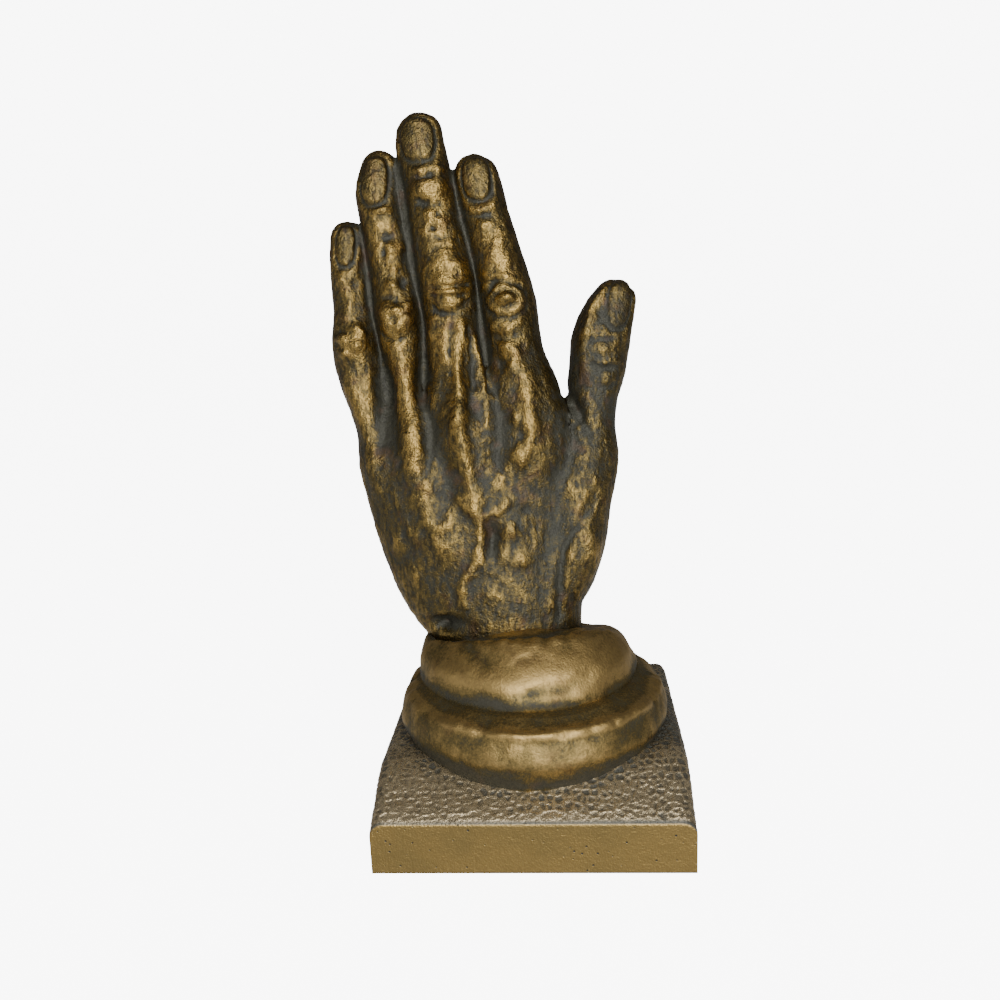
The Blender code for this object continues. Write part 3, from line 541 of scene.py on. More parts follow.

# Places on the back of the hand that stay darker, as patina with painted shade on the thumb, the left edge
# and by the sleeve, or lighter where the height is negative, as wear with painted highlights on the knuckles
HAND_SHADE_AND_PATINA = (
    Bump(20.0, 76.0, 13.0, 20.0, 0.46),
    Bump(15.0, 58.0, 7.0, 11.0, 0.25),
    Bump(9.0, 20.0, 9.0, 20.0, 0.16),
    Bump(-47.0, 40.0, 7.0, 26.0, 0.12),
    Bump(-22.0, 8.0, 16.0, 9.0, 0.14),
    Bump(-53.0, 104.0, 5.0, 10.0, 0.10),
    Bump(-25.0, 128.0, 5.5, 10.0, -0.16),
    Bump(-22.0, 106.0, 6.0, 7.0, -0.18),
    Bump(-38.0, 95.0, 5.0, 7.0, -0.14),
    Bump(-7.0, 110.0, 6.0, 12.0, -0.12),
    Bump(-52.0, 88.0, 5.0, 7.0, -0.10),
)

# How strongly each kind of mark is modelled
KNUCKLE_GAIN = 1.5
TENDON_GAIN = 0.80
VEIN_GAIN = 0.30
GROOVE_GAIN = 0.65
LINE_GAIN = 1.00
CORD_GAIN = 0.55
LUMP_GAIN = 2.0

# How many half widths around a stroke its height is worked out, and what share of it the very ends have
STROKE_MARGIN = 3
STROKE_BLUNTNESS = 0.25


def hump(value: np.ndarray, centre: float, width: float) -> np.ndarray:
    """Return 1 where a value is at the centre, falling to nothing a few widths away."""
    return np.exp(-((value - centre) / width) ** 2)


def ramp(value: np.ndarray, start: float, length: float) -> np.ndarray:
    """Return 0 up to the start and 1 past the length, or the other way round for a negative length."""
    return np.clip((value - start) / length, 0, 1)


def curve_through(rows: object, steps: int) -> np.ndarray:
    """Follow a smooth curve through rows of numbers.

    Args:
        rows: The rows that the curve passes through.
        steps: How many rows to give for each span between them.

    Returns:
        The rows along the curve.
    """
    rows = np.asarray(rows, dtype=float)
    padded = np.vstack((2 * rows[0] - rows[1], rows, 2 * rows[-1] - rows[-2]))
    result = []
    for index in range(len(rows) - 1):
        before, start, end, after = padded[index:index + 4]
        for share in np.arange(steps) / steps:
            result.append(0.5 * (2 * start + (end - before) * share
                                 + (2 * before - 5 * start + 4 * end - after) * share ** 2
                                 + (3 * start - before - 3 * end + after) * share ** 3))
    result.append(rows[-1])
    return np.array(result)


def drift(points: np.ndarray, size: float, seed: float) -> np.ndarray:
    """Return a smooth random value from about -1 to 1 at each point.

    Args:
        points: Rows of x, y and z.
        size: Size of the noise's features.
        seed: Shift that makes one noise differ from another.

    Returns:
        The values.
    """
    places = points / size + seed
    return np.array([noise.noise(place) for place in places.tolist()])


def smooth_union(first: np.ndarray, second: np.ndarray, blend: float) -> np.ndarray:
    """Join two distance fields with a fillet.

    Args:
        first: Distances to one form.
        second: Distances to the other form.
        blend: Width of the fillet.

    Returns:
        Distances to both forms as one.
    """
    share = np.clip(0.5 + 0.5 * (second - first) / blend, 0, 1)
    return second + (first - second) * share - blend * share * (1 - share)


def palm_line(rise: np.ndarray) -> np.ndarray:
    """Return where the palm side lies at each height, as the hand leans to the books."""
    return WRIST_PALM_Y + (TIP_PALM_Y - WRIST_PALM_Y) * rise / TIP_RISE


def new_object(name: str, data: bpy.types.ID) -> bpy.types.Object:
    """Put a new object in the scene.

    Args:
        name: Its name.
        data: The mesh, camera or light that it holds.

    Returns:
        The object.
    """
    item = bpy.data.objects.new(name, data)
    bpy.context.scene.collection.objects.link(item)
    return item


def mesh_from(name: str, form: bmesh.types.BMesh) -> bpy.types.Mesh:
    """Turn a bmesh into a named mesh with its faces outward, and free it.

    Args:
        name: Name of the mesh.
        form: The bmesh, which is freed.

    Returns:
        The mesh.
    """
    bmesh.ops.recalc_face_normals(form, faces=form.faces)
    mesh = bpy.data.meshes.new(name)
    form.to_mesh(mesh)
    form.free()
    return mesh


def baked(item: bpy.types.Object) -> bpy.types.Mesh:
    """Return the plain mesh that an object's modifiers give."""
    graph = bpy.context.evaluated_depsgraph_get()
    return bpy.data.meshes.new_from_object(item.evaluated_get(graph))


def points_of(mesh: bpy.types.Mesh, kind: str = "co") -> np.ndarray:
    """Read the vertices of a mesh.

    Args:
        mesh: The mesh.
        kind: What to read of each vertex, "co" for its place or "normal" for its normal.

    Returns:
        Rows of x, y and z.
    """
    points = np.empty(len(mesh.vertices) * 3)
    mesh.vertices.foreach_get(kind, points)
    return points.reshape(-1, 3)


def move_points(mesh: bpy.types.Mesh, points: np.ndarray) -> None:
    """Put the vertices of a mesh at the given places.

    Args:
        mesh: The mesh.
        points: Rows of x, y and z, one for each vertex.
    """
    mesh.vertices.foreach_set("co", points.ravel())
    mesh.update()


def stroke_height(x: np.ndarray, rise: np.ndarray, stroke: Stroke) -> np.ndarray:
    """Find what one stroke adds at each place.

    Args:
        x: Places across.
        rise: Places up.
        stroke: The stroke.

    Returns:
        The height that it adds at each place.
    """
    path = curve_through(stroke.points, PATH_STEPS)
    lengths = np.concatenate(([0.0], np.cumsum(np.linalg.norm(np.diff(path, axis=0), axis=1))))
    margin = STROKE_MARGIN * stroke.half_width
    low = path.min(axis=0) - margin
    high = path.max(axis=0) + margin
    close = np.flatnonzero((x > low[0]) & (x < high[0]) & (rise > low[1]) & (rise < high[1]))
    nearest = np.full(len(close), FAR)
    reach = np.zeros(len(close))
    for index in range(len(path) - 1):
        span = path[index + 1] - path[index]
        over = x[close] - path[index, 0]
        up = rise[close] - path[index, 1]
        share = np.clip((over * span[0] + up * span[1]) / max(span @ span, TINY), 0, 1)
        apart = np.hypot(over - share * span[0], up - share * span[1])
        closer = apart < nearest
        nearest = np.where(closer, apart, nearest)
        reach = np.where(closer, lengths[index] + share * np.linalg.norm(span), reach)
    fade = 2 * stroke.half_width
    at_start = np.clip(reach / fade + STROKE_BLUNTNESS, 0, 1)
    at_end = np.clip((lengths[-1] - reach) / fade + STROKE_BLUNTNESS, 0, 1)
    height = np.zeros(len(x))
    height[close] = stroke.height * (at_start * at_end) * hump(nearest, 0.0, stroke.half_width)
    return height


def bump_height(x: np.ndarray, rise: np.ndarray, bump: Bump) -> np.ndarray:
    """Find what one lump or pit adds at each place.

    Args:
        x: Places across.
        rise: Places up.
        bump: The lump or pit.

    Returns:
        The height that it adds at each place.
    """
    away = ((x - bump.x) / bump.half_width) ** 2 + ((rise - bump.rise) / bump.half_length) ** 2
    return bump.height * np.exp(-away)


def marks_height(x: np.ndarray, rise: np.ndarray, marks: tuple, widen: float = 1.0) -> np.ndarray:
    """Add up what strokes and bumps give at each place.

    Args:
        x: Places across.
        rise: Places up.
        marks: Strokes and bumps.
        widen: How much wider than listed the strokes are.

    Returns:
        The height at each place.
    """
    total = np.zeros(len(x))
    for mark in marks:
        if isinstance(mark, Stroke):
            total += stroke_height(x, rise, replace(mark, half_width=mark.half_width * widen))
        else:
            total += bump_height(x, rise, mark)
    return total


@dataclass(frozen=True)
class WearMap:
    """Finds where a casting is polished by handling and where its patina stays dark."""

    fine_steps: int = 8
    broad_steps: int = 60
    fine_height: float = 0.38
    broad_height: float = 1.3

    def averaged(self, values: np.ndarray, edges: np.ndarray, steps: int) -> np.ndarray:
        """Average each vertex with its neighbours, over and over.

        Args:
            values: Rows of x, y and z, one for each vertex.
            edges: Rows of two vertex numbers.
            steps: How many times to average.

        Returns:
            The averaged rows.
        """
        count = len(values)
        ends = np.concatenate((edges[:, 0], edges[:, 1]))
        others = np.concatenate((edges[:, 1], edges[:, 0]))
        degree = np.bincount(ends, minlength=count) + 1.0
        for _ in range(steps):
            total = [np.bincount(ends, weights=values[others, axis], minlength=count) for axis in range(3)]
            values = (values + np.stack(total, axis=1)) / degree[:, None]
        return values

    def paint(self, mesh: bpy.types.Mesh) -> None:
        """Store the share of hollow and of crest on each vertex.

        Args:
            mesh: The mesh, which gets the two attributes.
        """
        points = points_of(mesh) / MM
        normals = points_of(mesh, "normal")
        edges = np.empty(len(mesh.edges) * 2, dtype=np.int64)
        mesh.edges.foreach_get("vertices", edges)
        edges = edges.reshape(-1, 2)
        near = self.averaged(points, edges, self.fine_steps)
        wide = self.averaged(near, edges, self.broad_steps)
        fine = np.einsum("ij,ij->i", near - points, normals) / self.fine_height
        broad = np.einsum("ij,ij->i", wide - near, normals) / self.broad_height
        depth = fine + broad
        for name, values in (("hollow", np.clip(depth, 0, 1)), ("crest", np.clip(-depth, 0, 1))):
            layer = mesh.attributes.new(name, "FLOAT", "POINT")
            layer.data.foreach_set("value", values)


@dataclass(frozen=True)
class Cloud:
    """A noise: size of its features, number of finer layers, squeeze of its places upright, and shift."""

    size: float
    detail: float
    upright: float = 1.0
    shift: float = 0.0


@dataclass(frozen=True)
class Wiring:
    """Adds nodes to a tree and links them. An input is given as a value or as the output that feeds it."""

    tree: bpy.types.NodeTree

    def add(self, kind: str, **settings: object) -> bpy.types.Node:
        """Add a node.

        Args:
            kind: The node's type.
            settings: Its settings, other than its inputs.

        Returns:
            The node.
        """
        node = self.tree.nodes.new(kind)
        for name, value in settings.items():
            setattr(node, name, value)
        return node

    def fill(self, socket: bpy.types.NodeSocket, value: object) -> None:
        """Link or set one input.

        Args:
            socket: The input.
            value: The output that feeds it, or its value, which is three shares for a colour.
        """
        if isinstance(value, bpy.types.NodeSocket):
            self.tree.links.new(value, socket)
        elif socket.type == "RGBA":
            socket.default_value = (*value, 1.0)
        else:
            socket.default_value = value

    def maths(self, operation: str, first: object, second: object,
              clamp: bool = False) -> bpy.types.NodeSocket:
        """Calculate with two numbers.

        Args:
            operation: Name of the calculation.
            first: The first number.
            second: The second number.
            clamp: Whether the result is kept between zero and one.

        Returns:
            The result.
        """
        node = self.add("ShaderNodeMath", operation=operation, use_clamp=clamp)
        self.fill(node.inputs[0], first)
        self.fill(node.inputs[1], second)
        return node.outputs[0]

    def centred(self, value: object, gain: object) -> bpy.types.NodeSocket:
        """Return a noise with its middle at zero, times a gain."""
        return self.maths("MULTIPLY", self.maths("SUBTRACT", value, 0.5), gain)

    def ranged(self, value: object, given: tuple, wanted: tuple = (0.0, 1.0),
               kind: str = "SMOOTHSTEP") -> bpy.types.NodeSocket:
        """Turn a value within one range into one within another.

        Args:
            value: The value.
            given: Low and high end of its range.
            wanted: Low and high end of the result's range.
            kind: How the result goes from end to end.

        Returns:
            The result.
        """
        node = self.add("ShaderNodeMapRange", interpolation_type=kind)
        labels = ("Value", "From Min", "From Max", "To Min", "To Max")
        for label, number in zip(labels, (value, *given, *wanted)):
            self.fill(node.inputs[label], number)
        return node.outputs[0]

    def mixed(self, share: object, first: object, second: object) -> bpy.types.NodeSocket:
        """Mix two colours.

        Args:
            share: Share of the second colour.
            first: The first colour.
            second: The second colour.

        Returns:
            The mix.
        """
        node = self.add("ShaderNodeMix", data_type="RGBA")
        for index, value in ((0, share), (6, first), (7, second)):
            self.fill(node.inputs[index], value)
        return node.outputs[2]

    def noise_at(self, place: object, scale: object, detail: float) -> bpy.types.NodeSocket:
        """Add a noise.

        Args:
            place: Where it is read.
            scale: How many features it has in a metre.
            detail: Number of its finer layers.

        Returns:
            The noise, from zero to one.
        """
        node = self.add("ShaderNodeTexNoise")
        for label, value in (("Vector", place), ("Scale", scale), ("Detail", detail)):
            self.fill(node.inputs[label], value)
        return node.outputs[0]

    def cloud_at(self, place: object, cloud: Cloud) -> bpy.types.NodeSocket:
        """Add the noise that a cloud describes.

        Args:
            place: Where it is read.
            cloud: The cloud.

        Returns:
            The noise, from zero to one.
        """
        mapped = self.add("ShaderNodeMapping")
        self.fill(mapped.inputs["Vector"], place)
        self.fill(mapped.inputs["Location"], (cloud.shift, cloud.shift, cloud.shift))
        self.fill(mapped.inputs["Scale"], (1.0, 1.0, cloud.upright))
        return self.noise_at(mapped.outputs[0], 1 / (cloud.size * MM), cloud.detail)

    def stored(self, label: str) -> bpy.types.NodeSocket:
        """Read a vertex attribute in a Geometry Nodes tree.

        Args:
            label: Name of the attribute.

        Returns:
            Its value.
        """
        node = self.add("GeometryNodeInputNamedAttribute", data_type="FLOAT")
        self.fill(node.inputs["Name"], label)
        return node.outputs[0]

    def painted(self, label: str) -> bpy.types.NodeSocket:
        """Return the value of a vertex attribute in a material."""
        return self.add("ShaderNodeAttribute", attribute_name=label).outputs["Fac"]

    def blow_edges(self, place: object, scale: object) -> bpy.types.NodeSocket:
        """Add the hammer blows, which meet at thin rims.

        Args:
            place: Where they are read.
            scale: How many blows there are in a metre.

        Returns:
            The distance to the nearest rim, as a share of a blow.
        """
        node = self.add("ShaderNodeTexVoronoi", feature="DISTANCE_TO_EDGE")
        for label, value in (("Vector", place), ("Scale", scale), ("Randomness", BLOW_RANDOMNESS)):
            self.fill(node.inputs[label], value)
        return node.outputs["Distance"]


@dataclass(frozen=True)
class SkinTree:
    """Geometry Nodes tree that gives a casting its hammer blows and its uneven cast skin."""

    blow_size: float = BLOW_SIZE
    blow_depth: float = 0.0
    lump_size: float = 6.0
    lump_depth: float = 0.20
    grain_size: float = 1.3
    grain_depth: float = 0.10
    stretch: float = 1.0
    rim_sharpness: float = 3.6
    rim_curve: float = 1.6
    lump_detail: float = 1.0
    grain_detail: float = 2.0

    def sizes(self) -> dict:
        """List the numbers that the tree takes.

        Returns:
            The numbers, by the names of the tree's inputs.
        """
        return {
            "Blow Size": self.blow_size,
            "Blow Depth": self.blow_depth,
            "Lump Size": self.lump_size,
            "Lump Depth": self.lump_depth,
            "Grain Size": self.grain_size,
            "Grain Depth": self.grain_depth,
            "Stretch": self.stretch,
        }

    def height(self, wiring: Wiring, given: object) -> bpy.types.NodeSocket:
        """Add what finds the height of the skin, in metres.

        Args:
            wiring: The tree's wiring.
            given: The outputs of the tree's own inputs.

        Returns:
            The height.
        """

        def unevenness(place: object, label: str, detail: float) -> bpy.types.NodeSocket:
            """Return a noise around zero with the size and depth of one pair of inputs."""
            scale = wiring.maths("DIVIDE", 1 / MM, given[label + " Size"])
            return wiring.centred(wiring.noise_at(place, scale, detail), given[label + " Depth"])

        position = wiring.add("GeometryNodeInputPosition").outputs[0]
        squeeze = wiring.add("ShaderNodeCombineXYZ")
        for label, value in (("X", 1.0), ("Y", 1.0), ("Z", given["Stretch"])):
            wiring.fill(squeeze.inputs[label], value)
        squeezed = wiring.add("ShaderNodeVectorMath", operation="MULTIPLY")
        wiring.fill(squeezed.inputs[0], position)
        wiring.fill(squeezed.inputs[1], squeeze.outputs[0])
        place = squeezed.outputs[0]

        edges = wiring.blow_edges(position, wiring.maths("DIVIDE", 1 / MM, given["Blow Size"]))
        fall = wiring.maths("SUBTRACT", 1.0, wiring.maths("MULTIPLY", edges, self.rim_sharpness))
        bowl = wiring.maths("POWER", wiring.maths("MAXIMUM", fall, 0.0), self.rim_curve)
        blows = wiring.maths("MULTIPLY", wiring.maths("SUBTRACT", bowl, 1.0), given["Blow Depth"])
        blows = wiring.maths("MULTIPLY", blows, wiring.stored("struck"))
        lumps = unevenness(place, "Lump", self.lump_detail)
        grain = unevenness(place, "Grain", self.grain_detail)
        skin = wiring.maths("MULTIPLY", wiring.maths("ADD", lumps, grain), wiring.stored("rough"))
        return wiring.maths("MULTIPLY", wiring.maths("ADD", blows, skin), MM)

    def tree(self) -> bpy.types.NodeTree:
        """Build the tree with its named inputs.

        Returns:
            The node tree.
        """
        tree = bpy.data.node_groups.new("cast_skin", "GeometryNodeTree")
        face = tree.interface
        face.new_socket(name="Geometry", in_out="INPUT", socket_type="NodeSocketGeometry")
        for label in self.sizes():
            face.new_socket(name=label, in_out="INPUT", socket_type="NodeSocketFloat")
        face.new_socket(name="Material", in_out="INPUT", socket_type="NodeSocketMaterial")
        face.new_socket(name="Geometry", in_out="OUTPUT", socket_type="NodeSocketGeometry")
        wiring = Wiring(tree)
        given = wiring.add("NodeGroupInput").outputs
        shift = wiring.add("ShaderNodeVectorMath", operation="SCALE")
        wiring.fill(shift.inputs[0], wiring.add("GeometryNodeInputNormal").outputs[0])
        wiring.fill(shift.inputs["Scale"], self.height(wiring, given))
        moved = wiring.add("GeometryNodeSetPosition")
        wiring.fill(moved.inputs["Geometry"], given["Geometry"])
        wiring.fill(moved.inputs["Offset"], shift.outputs[0])
        real = wiring.add("GeometryNodeRealizeInstances")
        wiring.fill(real.inputs[0], moved.outputs[0])
        dressed = wiring.add("GeometryNodeSetMaterial")
        wiring.fill(dressed.inputs["Geometry"], real.outputs[0])
        wiring.fill(dressed.inputs["Material"], given["Material"])
        wiring.fill(wiring.add("NodeGroupOutput").inputs[0], dressed.outputs[0])
        return tree

    def apply(self, item: bpy.types.Object, material: bpy.types.Material) -> None:
        """Shape an object's skin with the tree, and keep the result as its plain mesh.

        Args:
            item: The object, which gets the new mesh.
            material: The material that the tree sets.
        """
        tree = self.tree()
        step = item.modifiers.new("cast_skin", "NODES")
        step.node_group = tree
        values = {**self.sizes(), "Material": material}
        for socket in tree.interface.items_tree:
            if socket.in_out == "INPUT" and socket.name in values:
                step[socket.identifier] = values[socket.name]
        bpy.context.view_layer.update()
        mesh = baked(item)
        item.modifiers.remove(step)
        old = item.data
        item.data = mesh
        bpy.data.meshes.remove(old)
        bpy.data.node_groups.remove(tree)


@dataclass(frozen=True)
class BrassFinish:
    """Aged yellow brass: dark patina in the hollows, and bare metal where it is handled or ground."""

    name: str
    bias: float = 0.385
    crest_gain: float = 0.50
    hollow_gain: float = 0.50
    rim_gain: float = 0.0
    mottle_gain: float = 0.8
    patch_gain: float = 1.0
    speck_gain: float = 0.7
    streak_gain: float = 0.9
    grain_gain: float = 0.5
    least_busy: float = 0.35
    soot_share: float = 0.42
    rust_share: float = 0.45
    patina: tuple = (0.051, 0.050, 0.034)
    umber: tuple = (0.105, 0.085, 0.042)
    metal: tuple = (0.215, 0.156, 0.058)
    bright: tuple = (0.430, 0.285, 0.088)
    soot: tuple = (0.024, 0.022, 0.016)
    rust: tuple = (0.140, 0.076, 0.044)
    ground: tuple = (0.460, 0.312, 0.108)
    dull_ground: tuple = (0.385, 0.272, 0.100)
    ground_rough: float = 0.38
    dark_metal: float = 0.30
    bare_metal: float = 1.0
    metal_full: float = 0.5
    dark_rough: float = 0.50
    bright_rough: float = 0.28
    rough_play: float = 0.25
    bump_strength: float = 0.7
    bump_height: float = 0.45
    grain_relief: float = 0.6
    speck_relief: float = 0.8
    streak_relief: float = 0.5
    pore_relief: float = 1.5
    umber_wear: tuple = (0.05, 0.40)
    metal_wear: tuple = (0.32, 0.70)
    bright_wear: tuple = (0.62, 1.00)
    grain_cloud: Cloud = Cloud(0.55, 3.0)
    mottle_cloud: Cloud = Cloud(9.0, 3.0)
    speck_cloud: Cloud = Cloud(1.1, 5.0)
    streak_cloud: Cloud = Cloud(1.1, 4.0, upright=0.42)
    patch_cloud: Cloud = Cloud(3.4, 4.0, upright=0.55, shift=2.3)
    rust_cloud: Cloud = Cloud(6.0, 3.0, shift=3.1)
    dull_cloud: Cloud = Cloud(14.0, 3.0, shift=1.7)
    pore_cloud: Cloud = Cloud(11.0, 2.0, shift=8.8)
    rust_range: tuple = (0.55, 0.72)
    dull_range: tuple = (0.35, 0.75)
    pore_range: tuple = (0.38, 0.60)
    pore_spacing: float = 2.4
    pore_radius: float = 0.16
    pore_edge: float = 0.06
    soot_reach: float = 0.50
    soot_edge: float = 0.13
    blow_rim: float = 0.22
    blow_rim_edge: float = 0.16

    def wear(self, wiring: Wiring, place: object, noises: dict) -> bpy.types.NodeSocket:
        """Add what finds how worn the brass is.

        Args:
            wiring: The material's wiring.
            place: Places on the object.
            noises: The grain, specks and streaks.

        Returns:
            The wear, from zero for full patina to one for bright metal.
        """
        edges = wiring.blow_edges(place, 1 / (BLOW_SIZE * MM))
        rim = wiring.ranged(wiring.maths("SUBTRACT", self.blow_rim, edges), (0.0, self.blow_rim_edge))
        rim = wiring.maths("MULTIPLY", rim, wiring.painted("struck"))
        worn = wiring.maths("MULTIPLY", wiring.painted("crest"), self.crest_gain)
        kept = wiring.maths("MULTIPLY", wiring.painted("hollow"), self.hollow_gain)
        wear = wiring.maths("SUBTRACT", wiring.maths("ADD", self.bias, worn), kept)
        wear = wiring.maths("ADD", wear, wiring.maths("MULTIPLY", rim, self.rim_gain))
        # This attribute holds each piece's tarnish together with its painted shade and painted highlights
        wear = wiring.maths("SUBTRACT", wear, wiring.painted("tarnish_and_shade"))
        uneven = wiring.centred(wiring.cloud_at(place, self.mottle_cloud), self.mottle_gain)
        for value, gain in ((wiring.cloud_at(place, self.patch_cloud), self.patch_gain),
                            (noises["speck"], self.speck_gain), (noises["grain"], self.grain_gain)):
            uneven = wiring.maths("ADD", uneven, wiring.centred(value, gain))
        busy = wiring.maths("MULTIPLY", wiring.painted("rough"), 1 - self.least_busy)
        busy = wiring.maths("ADD", self.least_busy, busy)
        wear = wiring.maths("ADD", wear, wiring.maths("MULTIPLY", uneven, busy))
        return wiring.maths("ADD", wear, wiring.centred(noises["streak"], self.streak_gain), clamp=True)

    def aged_colour(self, wiring: Wiring, place: object, wear: object,
                    streak: object) -> bpy.types.NodeSocket:
        """Add the colour of brass that is left as cast.

        Args:
            wiring: The material's wiring.
            place: Places on the object.
            wear: How worn the brass is.
            streak: The streaks.

        Returns:
            The colour.
        """
        colour = self.patina
        for span, shade in ((self.umber_wear, self.umber), (self.metal_wear, self.metal),
                            (self.bright_wear, self.bright)):
            colour = wiring.mixed(wiring.ranged(wear, span), colour, shade)
        rusty = wiring.ranged(wiring.cloud_at(place, self.rust_cloud), self.rust_range)
        colour = wiring.mixed(wiring.maths("MULTIPLY", rusty, self.rust_share), colour, self.rust)
        sooty = wiring.ranged(wiring.maths("SUBTRACT", self.soot_reach, streak), (0.0, self.soot_edge))
        return wiring.mixed(wiring.maths("MULTIPLY", sooty, self.soot_share), colour, self.soot)

    def pores(self, wiring: Wiring, place: object) -> bpy.types.NodeSocket:
        """Add the sparse round pores of a ground face.

        Args:
            wiring: The material's wiring.
            place: Places on the object.

        Returns:
            The share of pore.
        """
        cells = wiring.add("ShaderNodeTexVoronoi")
        wiring.fill(cells.inputs["Scale"], 1 / (self.pore_spacing * MM))
        wiring.fill(cells.inputs["Vector"], place)
        inside = wiring.maths("SUBTRACT", self.pore_radius, cells.outputs["Distance"])
        sparse = wiring.ranged(wiring.cloud_at(place, self.pore_cloud), self.pore_range)
        return wiring.maths("MULTIPLY", wiring.ranged(inside, (0.0, self.pore_edge)), sparse)

    def material(self) -> bpy.types.Material:
        """Build the material's nodes.

        Returns:
            The material.
        """
        material = bpy.data.materials.new(self.name)
        material.use_nodes = True
        inputs = material.node_tree.nodes["Principled BSDF"].inputs
        wiring = Wiring(material.node_tree)
        place = wiring.add("ShaderNodeTexCoord").outputs["Object"]
        noises = {
            "grain": wiring.cloud_at(place, self.grain_cloud),
            "speck": wiring.cloud_at(place, self.speck_cloud),
            "streak": wiring.cloud_at(place, self.streak_cloud),
        }
        ground = wiring.painted("ground")
        wear = self.wear(wiring, place, noises)
        pore = self.pores(wiring, place)

        dull = wiring.ranged(wiring.cloud_at(place, self.dull_cloud), self.dull_range)
        worked = wiring.mixed(pore, wiring.mixed(dull, self.ground, self.dull_ground), self.patina)
        aged = self.aged_colour(wiring, place, wear, noises["streak"])
        wiring.fill(inputs["Base Color"], wiring.mixed(ground, aged, worked))

        rough = wiring.ranged(wear, (0.0, 1.0), (self.dark_rough, self.bright_rough), "LINEAR")
        to_ground = wiring.maths("MULTIPLY", wiring.maths("SUBTRACT", self.ground_rough, rough), ground)
        rough = wiring.maths("ADD", rough, to_ground)
        rough = wiring.maths("ADD", rough, wiring.centred(noises["grain"], self.rough_play))
        wiring.fill(inputs["Roughness"], rough)

        metallic = wiring.ranged(wear, (0.0, self.metal_full), (self.dark_metal, self.bare_metal), "LINEAR")
        wiring.fill(inputs["Metallic"], wiring.maths("MAXIMUM", metallic, ground))

        relief = wiring.maths("MULTIPLY", noises["grain"], self.grain_relief)
        for label, gain in (("speck", self.speck_relief), ("streak", self.streak_relief)):
            relief = wiring.maths("ADD", relief, wiring.maths("MULTIPLY", noises[label], gain))
        pitted = wiring.maths("MULTIPLY", pore, wiring.maths("MULTIPLY", ground, self.pore_relief))
        bump = wiring.add("ShaderNodeBump")
        wiring.fill(bump.inputs["Strength"], self.bump_strength)
        wiring.fill(bump.inputs["Distance"], self.bump_height * MM)
        wiring.fill(bump.inputs["Height"], wiring.maths("SUBTRACT", relief, pitted))
        wiring.fill(inputs["Normal"], bump.outputs[0])
        return material


def dress(item: bpy.types.Object, skin: SkinTree, finish: BrassFinish, wear: WearMap) -> bpy.types.Object:
    """Give a sculpted piece its skin, wear and finish, and hang it on the frame.

    Args:
        item: The piece, with its struck, rough and ground attributes.
        skin: The tree that shapes its skin.
        finish: Its brass.
        wear: What finds its crests and hollows.

    Returns:
        The piece.
    """
    skin.apply(item, finish.material())
    low, high = (np.array(corner) for corner in CAD_BOX)
    move_points(item.data, np.clip(points_of(item.data), low, high))
    wear.paint(item.data)
    item.data.shade_smooth()
    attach(item, BODY)
    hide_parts(NODE)
    LOG.info("%s: %d faces", item.name, len(item.data.polygons))
    return item


def mark_shares(mesh: bpy.types.Mesh, struck: np.ndarray, rough: np.ndarray, ground: np.ndarray,
                tarnish_and_shade: np.ndarray) -> None:
    """Store on a mesh where it is struck with the hammer, rough, ground, and darker than elsewhere.

    Args:
        mesh: The mesh.
        struck: Share of the hammer blows on each vertex.
        rough: Share of the uneven skin on each vertex.
        ground: Share of the ground finish on each vertex.
        tarnish_and_shade: How much less worn each vertex is, with painted shade and highlights added.
    """
    for name, values in (("struck", struck), ("rough", rough), ("ground", ground), ("tarnish_and_shade", tarnish_and_shade)):
        layer = mesh.attributes.new(name, "FLOAT", "POINT")
        layer.data.foreach_set("value", np.asarray(values, dtype=float))


